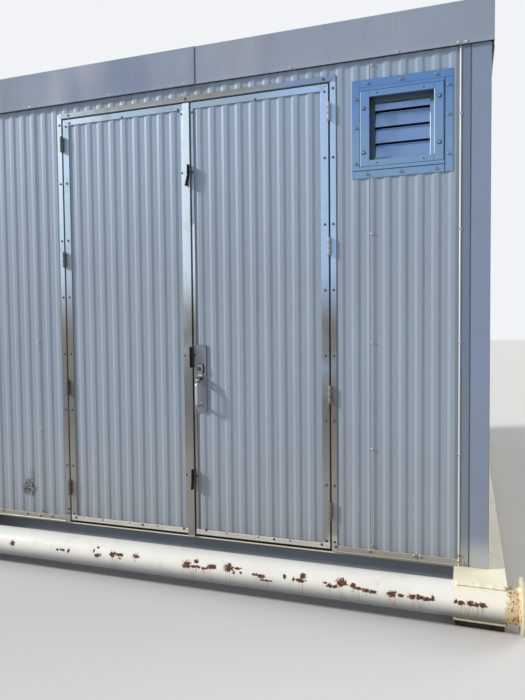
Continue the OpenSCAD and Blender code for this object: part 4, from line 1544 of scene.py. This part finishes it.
    def welds(self) -> None:
        """Adds the beads between the flanges and the pipes."""
        bag = MeshBag("pipe_welds", Body.CABIN, Slot.SKID)
        inner, outer = self.weld_ends
        roots = [(sx, sy, up) for sx, sy in self.corners for up in (1, -1)]
        for seed, (sx, sy, up) in enumerate(roots, 1):
            y = sy * (self.flange_y - self.weld_sink[0])
            z = self.pipe_z + up * self.pipe_r - up * self.weld_sink[1]
            start, end = Vector((sx * inner, y, z)), Vector((sx * outer, y, z))
            self.bead(bag, start, end, Vector((0, sy, 0)), Vector((0, 0, up)), seed)
        bag.make(GlossPaint("weld_gloss", colour=srgb(244, 235, 208), speckle=1.0, mud_top=0.06))

    def build(self) -> None:
        """Dresses the skid and adds its welds."""
        self.dress()
        self.welds()


@dataclass
class Shell:
    """Ribbed walls, corner trims and the lap joints between sheets.

    Attributes:
        lap: Distance of the lap joints from the middle of the walls.
        rows: Heights of the screw rows over the skid, on laps and flashings.
        foot: Height of the sheets' lower edge over the skid.
        top: Height of their upper edge over the skid.
        vent_lap: How far a lap reaches under the vent's flange.
        screw_x: Distance of a lap's screws from the middle of its crest.
        lip: Thickness of the sheet edge that shows at a lap.
        bright_lip: The same at the front's left lap, which catches the light.
        skirt: Length of the lapped sheet beyond a crest's slope.
        sink: Depth to which it reaches into the sheet under it.
        edge: Place of a sheet's edge, from the middle of its crest.
        door_edge: The same over the doorway.
        over_door: Heights between which the lap over the doorway shows.
        bare: Height over the skid from which the front's left lap has no screws.
        vent_rows: Heights over the skid between which the vent covers the right lap's screws.
        flashing: Distance of the flashings' screws from the end of the wall.
        foot_row: Height of the foot trims' screws over the skid, but for the front's.
        foot_count: Number of screws in each of those foot trims.
        foot_spots: Screws of the front's foot trims, as (along, height over the skid).
    """

    lap: float = 0.884
    rows: tuple[float, ...] = (0.046, 0.480, 0.952, 1.425, 1.898, 2.145)
    foot: float = 0.006
    top: float = 2.168
    vent_lap: float = 0.002
    screw_x: float = 0.002
    lip: float = 0.0013
    bright_lip: float = 0.00208
    skirt: float = 0.006
    sink: float = 0.0002
    edge: float = -0.006
    door_edge: float = -0.014
    over_door: Pair = (2.329, 2.371)
    bare: float = 1.2
    vent_rows: Pair = (1.66, 2.10)
    flashing: float = 0.119
    foot_row: float = 0.021
    foot_count: int = 8
    foot_spots: tuple[Pair, ...] = (
        (0.875, 0.021), (1.069, 0.023), (1.094, 0.022), (-0.817, 0.022), (-0.897, 0.018),
        (-0.982, 0.022), (-1.142, 0.024), (1.257, 0.045), (1.252, 0.020), (1.270, 0.013),
    )

    def spans(self, side: Side, middle: float) -> list[Pair]:
        """Gives the heights between which a lap shows, left open where the vent covers it.

        Args:
            side: The wall.
            middle: Middle of the lap's crest along the wall.

        Returns:
            The lengths, as (lowest, highest).
        """
        bottom, top = WALL.base + self.foot, WALL.base + self.top
        if side is Side.FRONT and middle > 0:
            low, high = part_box("vent_flange")
            return [(bottom, low.z + self.vent_lap), (high.z - self.vent_lap, top)]
        return [(bottom, top)]

    def hidden(self, side: Side, middle: float, row: float) -> bool:
        """Tells whether a lap has no screw at a row.

        Args:
            side: The wall.
            middle: Middle of the lap's crest along the wall.
            row: Height of the row over the skid.

        Returns:
            Whether it has none, as high up on the front's left lap or behind the vent.
        """
        if side is not Side.FRONT:
            return False
        low, high = self.vent_rows
        return row > self.bare if middle < 0 else low < row < high

    def lap_joint(
        self, bag: MeshBag, gaps: MeshBag, side: Side, middle: float, start: float, span: Pair
    ) -> None:
        """Adds one lap: the upper sheet's edge and a dark strip of dirt and painted shadow beside it, which
        the front's left one lacks.

        Args:
            bag: The piece for sheet edges.
            gaps: The piece for the dark strips of dirt and painted shadow.
            side: The wall.
            middle: Middle of the lap's crest along the wall.
            start: Place of the sheet's edge, from that middle.
            span: Heights between which it shows.
        """
        half, foot = WALL.rib_crest / 2, WALL.rib_crest / 2 + WALL.rib_slope
        bright = side is Side.FRONT and middle < -WALL.rib_pitch
        lip = self.bright_lip if bright else self.lip
        steps = ((start, 1.0), (half, 1.0), (foot, 0.8), (foot + self.skirt, 0.1))
        face = [(middle + x, WALL.trim + WALL.rib_y(middle + x), share) for x, share in steps]
        outer = [(x, depth - lip * share) for x, depth, share in face]
        inner = [(x, depth + self.sink) for x, depth, _ in reversed(face)]
        bag.sweep([[side.point(x, d, z) for x, d in outer + inner] for z in span])
        # The dark strip at the sheet's edge is dirt in the gap and painted shadow of the edge.
        if not bright:
            edge = middle + start
            depth = WALL.rib_y(edge)
            groove = [
                (edge - 0.0026, depth + 0.0001),
                (edge, depth + 0.0001),
                (edge, depth - 0.0007),
                (edge - 0.0020, depth - 0.0004),
            ]
            gaps.sweep([[side.point(x, WALL.trim + d, z) for x, d in groove] for z in span])

    def laps(self) -> None:
        """Adds all lap joints with their screws, and the short one over the doorway."""
        bag = MeshBag("sheet_laps", Body.CABIN, Slot.CLADDING)
        gaps = MeshBag("lap_gaps_dirt_and_shadow", Body.CABIN, Slot.CLADDING)
        screws = Screws("lap_screws", Body.CABIN, Slot.GALVANISED, SCREW, 3)
        ends = (-self.lap, self.lap)
        for side in (Side.FRONT, Side.BACK, Side.RIGHT, Side.LEFT):
            for middle in ends if side is Side.FRONT else (*ends, 0.0):
                for span in self.spans(side, middle):
                    self.lap_joint(bag, gaps, side, middle, self.edge, span)
                for row in self.rows:
                    if not self.hidden(side, middle, row):
                        depth = WALL.trim - self.lip
                        place = side.point(middle + self.screw_x, depth, WALL.base + row)
                        screws.at(place, side.outward)
        self.lap_joint(bag, gaps, Side.FRONT, 0.0, self.door_edge, self.over_door)
        bag.make(CLADDING)
        gaps.make(SEAL)
        screws.done()

    def trim_screws(self) -> None:
        """Adds the screws along the corner flashings and foot trims."""
        screws = Screws("trim_screws", Body.CABIN, Slot.GALVANISED, SCREW, 5)
        for side in Side:
            edge = side.half - self.flashing
            spots = [(sign * edge, row) for row in self.rows[:-1] for sign in (-1, 1)]
            if side is Side.FRONT:
                spots += self.foot_spots
            else:
                steps = [2 * edge * (k + 0.5) / self.foot_count for k in range(self.foot_count)]
                spots += [(-edge + step, self.foot_row) for step in steps]
            for along, height in spots:
                screws.at(side.point(along, 0.0, WALL.base + height), side.outward)
        screws.done()

    def build(self) -> None:
        """Dresses the shell and adds its joints and screws."""
        dress(CLADDING, ["front_cladding", "left_cladding", "right_cladding", "back_cladding"])
        dress(POST, ["corner_posts"], FOLD_EDGE)
        dress(FLASHING, ["corner_flashings"], FOLD_EDGE)
        dress(FOOT_TRIM, ["base_trims"], FOLD_EDGE)
        dress(LINING, ["front_wall_left", "front_wall_right", "front_wall_head"])
        dress(LINING, ["left_wall", "right_wall", "back_wall", "roof_deck"])
        self.laps()
        self.trim_screws()


@dataclass
class Fascia:
    """Buckled galvanised fascia round the roof, with its lap, corner returns and screws.

    Attributes:
        out: How far the face stands out past the trims.
        drip: How far the drip edge stands out past the face.
        cap: Width of the cap over the roof.
        sheet: Thickness of the sheet.
        joint: Place of the lap on the front, from the middle.
        buckle: Depth of the buckles.
        lift: How far the lapped sheet springs off the one under it.
        spring: Length over which it does.
        gap: Play at the ends of a length.
        joint_gap: Distance from the lap to the length under it.
        rows: Number of steps up the face.
        step: Distance between sections along the face.
        foam: Thickness of the dark foam closures, which also stand in for the shade under the fascia.
        foam_face: Distance of their face behind the fascia's.
        foam_half: Half the width of the one behind the lap.
        screw_row: Height of the screws over the drip edge.
        spots: Places of the screws along each wall.
    """

    out: float = 0.010
    drip: float = 0.003
    cap: float = 0.050
    sheet: float = 0.003
    joint: float = 0.056
    buckle: float = 0.0032
    lift: float = 0.004
    spring: float = 0.16
    gap: float = 0.001
    joint_gap: float = 0.0015
    rows: int = 9
    step: float = 0.02
    foam: float = 0.004
    foam_face: float = 0.001
    foam_half: float = 0.02
    screw_row: float = 0.0095
    spots: tuple[tuple[Side, tuple[float, ...]], ...] = (
        (Side.FRONT, (-1.245, -0.889, -0.411, -0.004, 0.526, 0.997, 1.243, 1.274)),
        (Side.BACK, (-1.25, -0.80, -0.35, 0.10, 0.55, 1.00, 1.27)),
        (Side.RIGHT, (-1.70, -1.23, -0.76, -0.29, 0.18, 0.65, 1.12, 1.59)),
        (Side.LEFT, (-1.59, -1.12, -0.65, -0.18, 0.29, 0.76, 1.23, 1.70)),
    )

    def __post_init__(self) -> None:
        """Reads the fascia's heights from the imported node."""
        low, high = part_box("front_fascia")
        self.low, self.high = low.z, high.z

    def section(self, wave: Callable[[float], float]) -> list[Pair]:
        """Gives the closed section, as (depth, height) pairs.

        Args:
            wave: How far the face is buckled outward at a height.

        Returns:
            The pairs.
        """
        face_low, face_high = self.low + 3 * self.drip, self.high - self.sheet
        heights = [face_low + (face_high - face_low) * k / self.rows for k in range(self.rows + 1)]
        face = [(-self.out - wave(z), z) for z in heights]
        inner = self.sheet - self.out
        edge = wave(self.low)
        return [
            (inner + self.out, self.low + self.sheet),
            (inner + self.out, self.low),
            (-self.out - self.drip - edge, self.low),
            *face,
            (-self.out + self.sheet, self.high),
            (self.cap, self.high),
            (self.cap, self.high - self.sheet),
            (inner, self.high - self.sheet),
            (inner, self.low + self.sheet),
        ]

    def wave(self, side: Side, along: float, height: float) -> float:
        """Gives the buckle of the face, which is stronger at mid height and beside the lap.

        Args:
            side: The wall.
            along: Distance from the wall's middle.
            height: Height over the ground.

        Returns:
            The distance outward.
        """
        seed = 11.0 * side.value
        share = (height - self.low) / (self.high - self.low)
        belly = math.sin(math.pi * min(1.0, max(0.0, share)))
        slow = noise.noise(Vector((along * 1.9 + seed, share * 1.1, 0.3)))
        quick = noise.noise(Vector((along * 6.5 + seed, share * 2.3, 4.1)))
        bulge = 0.0
        if side is Side.FRONT and along <= self.joint:
            reach = max(0.0, 1 - (self.joint - along) / self.spring)
            bulge = self.lift * reach**2 * belly
        return (0.35 + 0.65 * belly) * (self.buckle * slow + 0.3 * self.buckle * quick) + bulge

    def run(self, bag: MeshBag, side: Side, start: float, end: float, lift: float = 0.0) -> None:
        """Adds one length of fascia.

        Args:
            bag: The piece to add it to.
            side: The wall.
            start: Where it starts.
            end: Where it ends.
            lift: How far it lies over its neighbour.
        """
        count = max(2, round((end - start) / self.step))
        rings = []
        for k in range(count + 1):
            along = start + (end - start) * k / count
            pairs = self.section(lambda z, a=along: self.wave(side, a, z))
            rings.append([side.point(along, d - lift, z) for d, z in pairs])
        bag.sweep(rings)

    def returns(self, bag: MeshBag, side: Side) -> None:
        """Adds the folded ends of an end wall's fascia, which lie on the side walls.

        Args:
            bag: The piece to add them to.
            side: The end wall.
        """
        edge = side.half + self.out
        for sign in (-1, 1):
            inner = side.point(sign * (edge - self.sheet), -self.out, self.low)
            bag.block(inner, side.point(sign * edge, self.cap, self.high))

    def closures(self) -> None:
        """Adds the dark foam closures under the drip edge and behind the lap, which also stand in for the
        shade there.
        """
        bag = MeshBag("fascia_closures_and_shade", Body.CABIN, Slot.GALVANISED)
        for side in Side:
            reach = side.half + self.out - self.foam
            foot = side.point(-reach, self.foam_face - self.out, self.low - 0.0004)
            bag.block(foot, side.point(reach, WALL.trim, self.low + self.foam))
        foot = Side.FRONT.point(self.joint - self.foam_half, self.foam_face - self.out, self.low)
        bag.block(foot, Side.FRONT.point(self.joint + self.foam_half, 0.0, self.high - self.foam))
        bag.make(SEAL)

    def build(self) -> None:
        """Replaces the plain fascias by buckled ones and adds the screws."""
        front = MeshBag("front_fascia_sheet", Body.CABIN, Slot.GALVANISED)
        end = WALL.side + self.out - self.gap
        self.run(front, Side.FRONT, -end, self.joint, self.lift)
        self.run(front, Side.FRONT, self.joint + self.joint_gap, end)
        self.returns(front, Side.FRONT)
        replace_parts(front.make(GALVANISED, crease=40), "front_fascia")
        back = MeshBag("back_fascia_sheet", Body.CABIN, Slot.GALVANISED)
        self.run(back, Side.BACK, -end, end)
        self.returns(back, Side.BACK)
        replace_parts(back.make(GALVANISED, crease=40), "back_fascia")
        sides = MeshBag("side_fascia_sheets", Body.CABIN, Slot.GALVANISED)
        reach = -WALL.front - self.cap - self.gap
        for side in (Side.RIGHT, Side.LEFT):
            self.run(sides, side, -reach, reach)
        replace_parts(sides.make(GALVANISED, crease=40), "side_fascias")
        dress(GALVANISED, ["roof_sheet"], 0.001)
        self.closures()
        screws = Screws("fascia_screws", Body.CABIN, Slot.GALVANISED, SCREW, 9)
        height = self.low + self.screw_row
        for side, row in self.spots:
            for along in row:
                depth = -self.out - self.wave(side, along, height) + 0.0003
                screws.at(side.point(along, depth, height), side.outward)
        screws.done()


@dataclass
class Doorway:
    """Door frame, its bright trims, their screws and the seal that the leaves close on.

    Attributes:
        jamb: Half the clear width.
        head: Height of the clear opening over the skid.
        reveal: Distance from the clear opening to the trims.
        trim_w: Width of the trims.
        rows: Heights of the side trims' screws over the skid.
        head_spots: Screws of the head trim, along the wall.
        foot_spots: Screws at the side trims' feet, as (along, height).
        seal_r: Radius of the seal's bulb.
        seal_inset: Distance of its middle inside the clear opening.
        seal_depth: Distance of its middle behind the leaves.
        seal_foot: Height over the skid at which it starts.
    """

    jamb: float = 0.702
    head: float = 2.100
    reveal: float = 0.002
    trim_w: float = 0.025
    rows: tuple[float, ...] = (0.046, 0.304, 0.599, 0.892, 1.186, 1.478, 1.771, 2.070)
    head_spots: tuple[float, ...] = (-0.661, 0.0, 0.673)
    foot_spots: tuple[Pair, ...] = ((0.722, 0.225), (-0.712, 0.270))
    seal_r: float = 0.0027
    seal_inset: float = 0.0125
    seal_depth: float = 0.0032
    seal_foot: float = 0.02

    def seal(self) -> None:
        """Adds the rubber bulb that the leaves close on."""
        bag = MeshBag("door_seal", Body.CABIN, Slot.DOOR_FRAME)
        _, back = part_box("right_leaf")
        x, y = self.jamb - self.seal_inset, back.y + self.seal_depth
        foot, top = WALL.base + self.seal_foot, WALL.base + self.head - self.seal_inset
        path = [Vector((-x, y, foot)), Vector((-x, y, top)), Vector((x, y, top)), Vector((x, y, foot))]
        inward = Vector((0, 1, 0))
        turns = [math.tau * k / 14 for k in range(14)]
        for start, end in zip(path, path[1:]):
            across = (end - start).normalized().cross(inward)
            ring = [(across * math.cos(turn) + inward * math.sin(turn)) * self.seal_r for turn in turns]
            bag.sweep([[start + off for off in ring], [end + off for off in ring]], smooth=True)
        bag.make(SEAL)

    def build(self) -> None:
        """Dresses the doorway and adds its seal, screws and mitre seams."""
        dress(FRAME_STEEL, ["door_frame"], 0.0008)
        dress(TRIM_UP, ["frame_trims"], FOLD_EDGE)
        dress(HINGE, ["frame_hinges"], FOLD_EDGE)
        self.seal()
        inner, head = self.jamb + self.reveal, WALL.base + self.head + self.reveal
        middle = inner + self.trim_w / 2
        spots = [(sign * middle, WALL.base + row) for row in self.rows for sign in (-1, 1)]
        spots += [(along, head + self.trim_w / 2) for along in self.head_spots]
        screws = Screws("frame_trim_screws", Body.CABIN, Slot.TRIM, DARK_SCREW, 13)
        for along, height in (*spots, *self.foot_spots):
            screws.at(Side.FRONT.point(along, 0, height), Side.FRONT.outward, Head.PAN)
        screws.done()
        seams = MeshBag("frame_trim_mitres", Body.CABIN, Slot.TRIM)
        for sign in (-1, 1):
            mitre(seams, (sign * inner, head), (sign * (inner + self.trim_w), head + self.trim_w))
        seams.make(SEAL)


@dataclass
class Leaf:
    """One door leaf with its trims and their screws.

    Attributes:
        body: The moving part.
        prefix: Start of its nodes' names.
        hinge_side: -1 where it is hung at the left, 1 at the right.
        stile: Distance of the hanging stile's screws from the cabin's middle.
        stile_w: Width of the stiles' trims.
        rail_w: Width of the rails' trims.
        rows: Heights of the stile's screws over the skid.
        small_row: Height of the small screws over the skid.
        small: The small screws of the foot rail, along the wall.
        rails: Screws of the rails, as (along, height).
        meeting: Screws where the leaves meet, as (along, height, depth).
    """

    body: Body
    prefix: str
    hinge_side: int
    stile: float = 0.678
    stile_w: float = 0.034
    rail_w: float = 0.029
    rows: tuple[float, ...] = (0.046, 0.304, 0.599, 0.892, 1.186, 1.478, 1.771, 2.060)
    small_row: float = 0.030
    small: tuple[float, ...] = ()
    rails: tuple[Pair, ...] = ()
    meeting: tuple[Point, ...] = ()

    def build(self) -> None:
        """Dresses the leaf and adds its screws and mitre seams."""
        dress(LEAF, [self.prefix])
        dress(CLADDING, [f"{self.prefix}_cladding"])
        dress(TRIM_UP, [f"{self.prefix}_trims"], FOLD_EDGE)
        dress(HINGE, [f"{self.prefix}_hinges"], FINE_EDGE)
        spots = [(self.hinge_side * self.stile, WALL.base + row, 0.0, Head.PAN) for row in self.rows]
        spots += [(along, height, 0.0, Head.PAN) for along, height in self.rails]
        spots += [(along, WALL.base + self.small_row, 0.0, Head.SMALL_PAN) for along in self.small]
        spots += [(*place, Head.PAN) for place in self.meeting]
        screws = Screws(f"{self.prefix}_screws", self.body, Slot.TRIM, DARK_SCREW, 17 + self.hinge_side)
        for along, height, depth, head in spots:
            screws.at(Side.FRONT.point(along, depth, height), Side.FRONT.outward, head)
        screws.done()
        seams = MeshBag(f"{self.prefix}_mitres", self.body, Slot.TRIM)
        low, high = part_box(f"{self.prefix}_trims")
        edge = low.x if self.hinge_side < 0 else high.x
        for z, turn in ((high.z, -1), (low.z, 1)):
            mitre(seams, (edge, z), (edge - self.hinge_side * self.stile_w, z + turn * self.rail_w))
        seams.make(SEAL)


@dataclass
class LockSet:
    """Lock plate, cylinder, thumb piece and pull on the right leaf, and the bars on the left one.

    Attributes:
        inset: Distance of the plate's screws from its edges.
        stem: Width, depth and height of the dark stem under the thumb piece, which stands in for its shade.
        stem_gap: Distance of the stem over the pull.
    """

    inset: float = 0.008
    stem: Point = (0.011, 0.020, 0.012)
    stem_gap: float = 0.001

    def build(self) -> None:
        """Dresses the set and adds the plate's screws and a dark stem that stands in for the shade under the
        thumb piece.
        """
        dress(STRIP_UP, ["meeting_strip"], FINE_EDGE)
        dress(BAR, ["turn_bars"], FINE_EDGE)
        dress(LOCK_PLATE, ["lock_plate"], 0.0008)
        dress(LOCK, ["pull_handle", "thumb_piece"], FINE_EDGE)
        dress(CYLINDER, ["lock_cylinder"], FINE_EDGE)
        screws = Screws("lock_plate_screws", Body.RIGHT, Slot.LOCK, DARK_SCREW, 23)
        low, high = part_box("lock_plate")
        for x in (low.x + self.inset, high.x - self.inset):
            for z in (low.z + self.inset, high.z - self.inset):
                screws.at(Vector((x, low.y, z)), Side.FRONT.outward, Head.SMALL_PAN)
        screws.done()
        # Painted shade: a dark block between the thumb piece and the pull.
        stem = MeshBag("thumb_shade_stem", Body.RIGHT, Slot.LOCK)
        wide, deep, tall = self.stem
        thumb_low, thumb_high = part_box("thumb_piece")
        middle = (thumb_low.x + thumb_high.x) / 2
        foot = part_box("pull_handle")[1].z + self.stem_gap
        corner = Vector((middle - wide / 2, low.y - deep, foot))
        stem.block(corner, Vector((middle + wide / 2, low.y, foot + tall)))
        stem.make(BAR, bevel=0.0015)


@dataclass
class Vent:
    """Louvred vent: strips, damper frame and blades, with three kinds of screw.

    Attributes:
        strip: Screws of the strips, as (x, z) from the vent's middle.
        large: Large screws of the damper frame.
        small: Small screws of the damper frame.
        lift: How far the large screws stand off the frame, on their ring seals.
    """

    strip: tuple[Pair, ...] = (
        (-0.142, 0.194), (0.0, 0.194), (0.144, 0.194), (0.194, 0.146), (0.194, 0.025), (0.194, -0.138),
        (-0.144, -0.194), (0.0, -0.194), (0.144, -0.194), (-0.194, 0.130), (-0.194, 0.008), (-0.194, -0.146),
    )
    large: tuple[Pair, ...] = ((-0.159, 0.088), (-0.159, -0.101), (0.157, 0.103), (0.157, -0.088))
    small: tuple[Pair, ...] = ((-0.102, 0.148), (0.093, 0.148), (-0.102, -0.148), (0.093, -0.148))
    lift: float = 0.0004

    def build(self) -> None:
        """Dresses the vent and adds its screws."""
        dress(VENT_STRIP, ["vent_flange"], FOLD_EDGE)
        dress(VENT_FRAME, ["vent_frame"], THICK_EDGE)
        dress(BLADE_SHEET, ["vent_blades"], 0.0004)
        dress(SLEEVE_SHADE, ["vent_sleeve"])
        low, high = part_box("vent_flange")
        middle = Vector(((low.x + high.x) / 2, 0, (low.z + high.z) / 2))
        face = PAN_LOW.y
        groups = (
            ("vent_screws", self.strip, low.y, Head.HEX, VENT_SCREW),
            ("vent_pan_screws", self.large, face - self.lift, Head.LARGE_PAN, VENT_FRAME),
            # Dark rubber rings under the large heads, which also stand in for the shade round them.
            ("vent_ring_seals_and_shade", self.large, face, Head.RING, SEAL),
            ("vent_small_screws", self.small, face, Head.SMALL_PAN, DARK_SCREW),
        )
        for seed, (name, spots, depth, head, finish) in enumerate(groups, 29):
            screws = Screws(name, Body.CABIN, Slot.VENT, finish, seed)
            for x, z in spots:
                screws.at(Vector((middle.x + x, depth, middle.z + z)), Side.FRONT.outward, head)
            screws.done()


@dataclass
class Studio:
    """Pale floor, soft light and the camera at the photograph's viewing angle.

    Attributes:
        place: Where the camera stands.
        turn: Its turn to the left from straight at the door end, in degrees.
        tilt: Its tilt up from level, in degrees.
        roll: Its roll, in degrees.
        lens: Its focal length in millimetres, for a frame of 36 millimetres.
        tint: Colour of the light from all round.
        level: Strength of that light.
        backdrop: Colour of the background that the camera and bright metal see.
        backdrop_level: Strength of the background.
        reach: Half the floor's width.
    """

    place: Point = (1.284, -4.493, 1.237)
    turn: float = 18.77
    tilt: float = -2.45
    roll: float = 0.55
    lens: float = 31.1
    tint: Colour = (0.93, 0.96, 1.0)
    level: float = 0.43
    backdrop: Colour = (0.93, 0.95, 0.97)
    backdrop_level: float = 0.95
    reach: float = 40.0

    def camera(self) -> None:
        """Makes the camera."""
        data = bpy.data.cameras.new("camera")
        data.lens, data.sensor_width = self.lens, 36.0
        data.clip_start, data.clip_end = 0.05, 100.0
        camera = bpy.data.objects.new("camera", data)
        bpy.context.scene.collection.objects.link(camera)
        turn = Matrix.Rotation(math.radians(self.turn), 4, "Z")
        turn @= Matrix.Rotation(math.radians(self.tilt), 4, "X")
        turn @= Matrix.Rotation(math.radians(self.roll), 4, "Y")
        turn @= Matrix.Rotation(math.radians(90), 4, "X")
        camera.matrix_world = Matrix.Translation(self.place) @ turn
        bpy.context.scene.camera = camera

    def sun(self, name: str, towards: Point, strength: float, spread: float) -> None:
        """Makes one soft lamp.

        Args:
            name: Its name.
            towards: Direction from the cabin to the lamp.
            strength: Its strength.
            spread: Its width in degrees.
        """
        data = bpy.data.lights.new(name, "SUN")
        data.energy, data.angle = strength, math.radians(spread)
        lamp = bpy.data.objects.new(name, data)
        lamp.rotation_euler = Vector(towards).to_track_quat("Z", "Y").to_euler()
        bpy.context.scene.collection.objects.link(lamp)

    @staticmethod
    def glow(tree: bpy.types.NodeTree, colour: Colour, strength: float) -> Socket:
        """Adds a Background node.

        Args:
            tree: The surroundings' nodes.
            colour: Its colour.
            strength: Its strength.

        Returns:
            Its socket.
        """
        node = tree.nodes.new("ShaderNodeBackground")
        node.inputs[0].default_value, node.inputs[1].default_value = (*colour, 1.0), strength
        return node.outputs[0]

    def lights(self) -> None:
        """Makes the soft lamps and the pale surroundings."""
        self.sun("key", (-0.83, -0.36, 0.44), 3.2, 7)
        self.sun("fill", (0.80, 0.50, 0.33), 1.5, 40)
        world = bpy.data.worlds.new("surroundings")
        bpy.context.scene.world = world
        world.use_nodes = True
        tree = world.node_tree
        tree.nodes.clear()
        output = tree.nodes.new("ShaderNodeOutputWorld")
        light = self.glow(tree, self.tint, self.level)
        seen = self.glow(tree, self.backdrop, self.backdrop_level)
        rays = tree.nodes.new("ShaderNodeLightPath")
        blend = tree.nodes.new("ShaderNodeMixShader")
        share = rays.outputs["Is Camera Ray"]
        for kind in ("Is Glossy Ray", "Is Transmission Ray"):
            more = tree.nodes.new("ShaderNodeMath")
            more.operation = "MAXIMUM"
            tree.links.new(share, more.inputs[0])
            tree.links.new(rays.outputs[kind], more.inputs[1])
            share = more.outputs[0]
        tree.links.new(share, blend.inputs[0])
        tree.links.new(light, blend.inputs[1])
        tree.links.new(seen, blend.inputs[2])
        tree.links.new(blend.outputs[0], output.inputs[0])

    def floor(self) -> None:
        """Makes the pale floor."""
        mesh = bpy.data.meshes.new("floor")
        corners = [(x * self.reach, y * self.reach, 0) for x, y in ((-1, -1), (1, -1), (1, 1), (-1, 1))]
        mesh.from_pydata(corners, [], [(0, 1, 2, 3)])
        piece = bpy.data.objects.new("floor", mesh)
        bpy.context.scene.collection.objects.link(piece)
        g = Graph("floor_pale")
        tone = g.mix(g.noise(0.8, 3.0), srgb(214, 212, 208), srgb(222, 221, 218))
        mesh.materials.append(g.dress(Base_Color=tone, Roughness=0.9))

    def build(self) -> None:
        """Makes the studio."""
        self.camera()
        self.lights()
        self.floor()
        bpy.context.scene.view_settings.view_transform = "Standard"


def main() -> None:
    """Builds the cabin's looks in order."""
    logging.basicConfig(level=logging.INFO, format="%(message)s")
    left = Leaf(
        Body.LEFT, "left_leaf", -1,
        rails=(
            (-0.347, 2.268), (-0.039, 2.268), (-0.271, 0.228),
            (-0.040, 0.232), (-0.668, 0.228), (-0.655, 2.275),
        ),
        small=(-0.504, -0.346, -0.187),
        meeting=((-0.0195, 2.245, 0), (-0.0195, 1.966, 0), (-0.0195, 1.088, 0), (-0.0195, 0.501, 0)),
    )
    right = Leaf(
        Body.RIGHT, "right_leaf", 1,
        rails=((0.354, 2.268), (0.080, 0.236), (0.427, 0.228), (0.656, 0.228)),
        small=(0.188, 0.350, 0.507),
        meeting=((0.035, 2.247, 0), (0.035, 1.965, 0), (0.036, 1.091, -0.002), (0.035, 0.500, 0)),
    )
    for part in (Studio(), Skid(), Shell(), Fascia(), Doorway(), left, right, LockSet(), Vent()):
        LOG.info("%s", type(part).__name__)
        part.build()


if __name__ == "__main__":
    main()
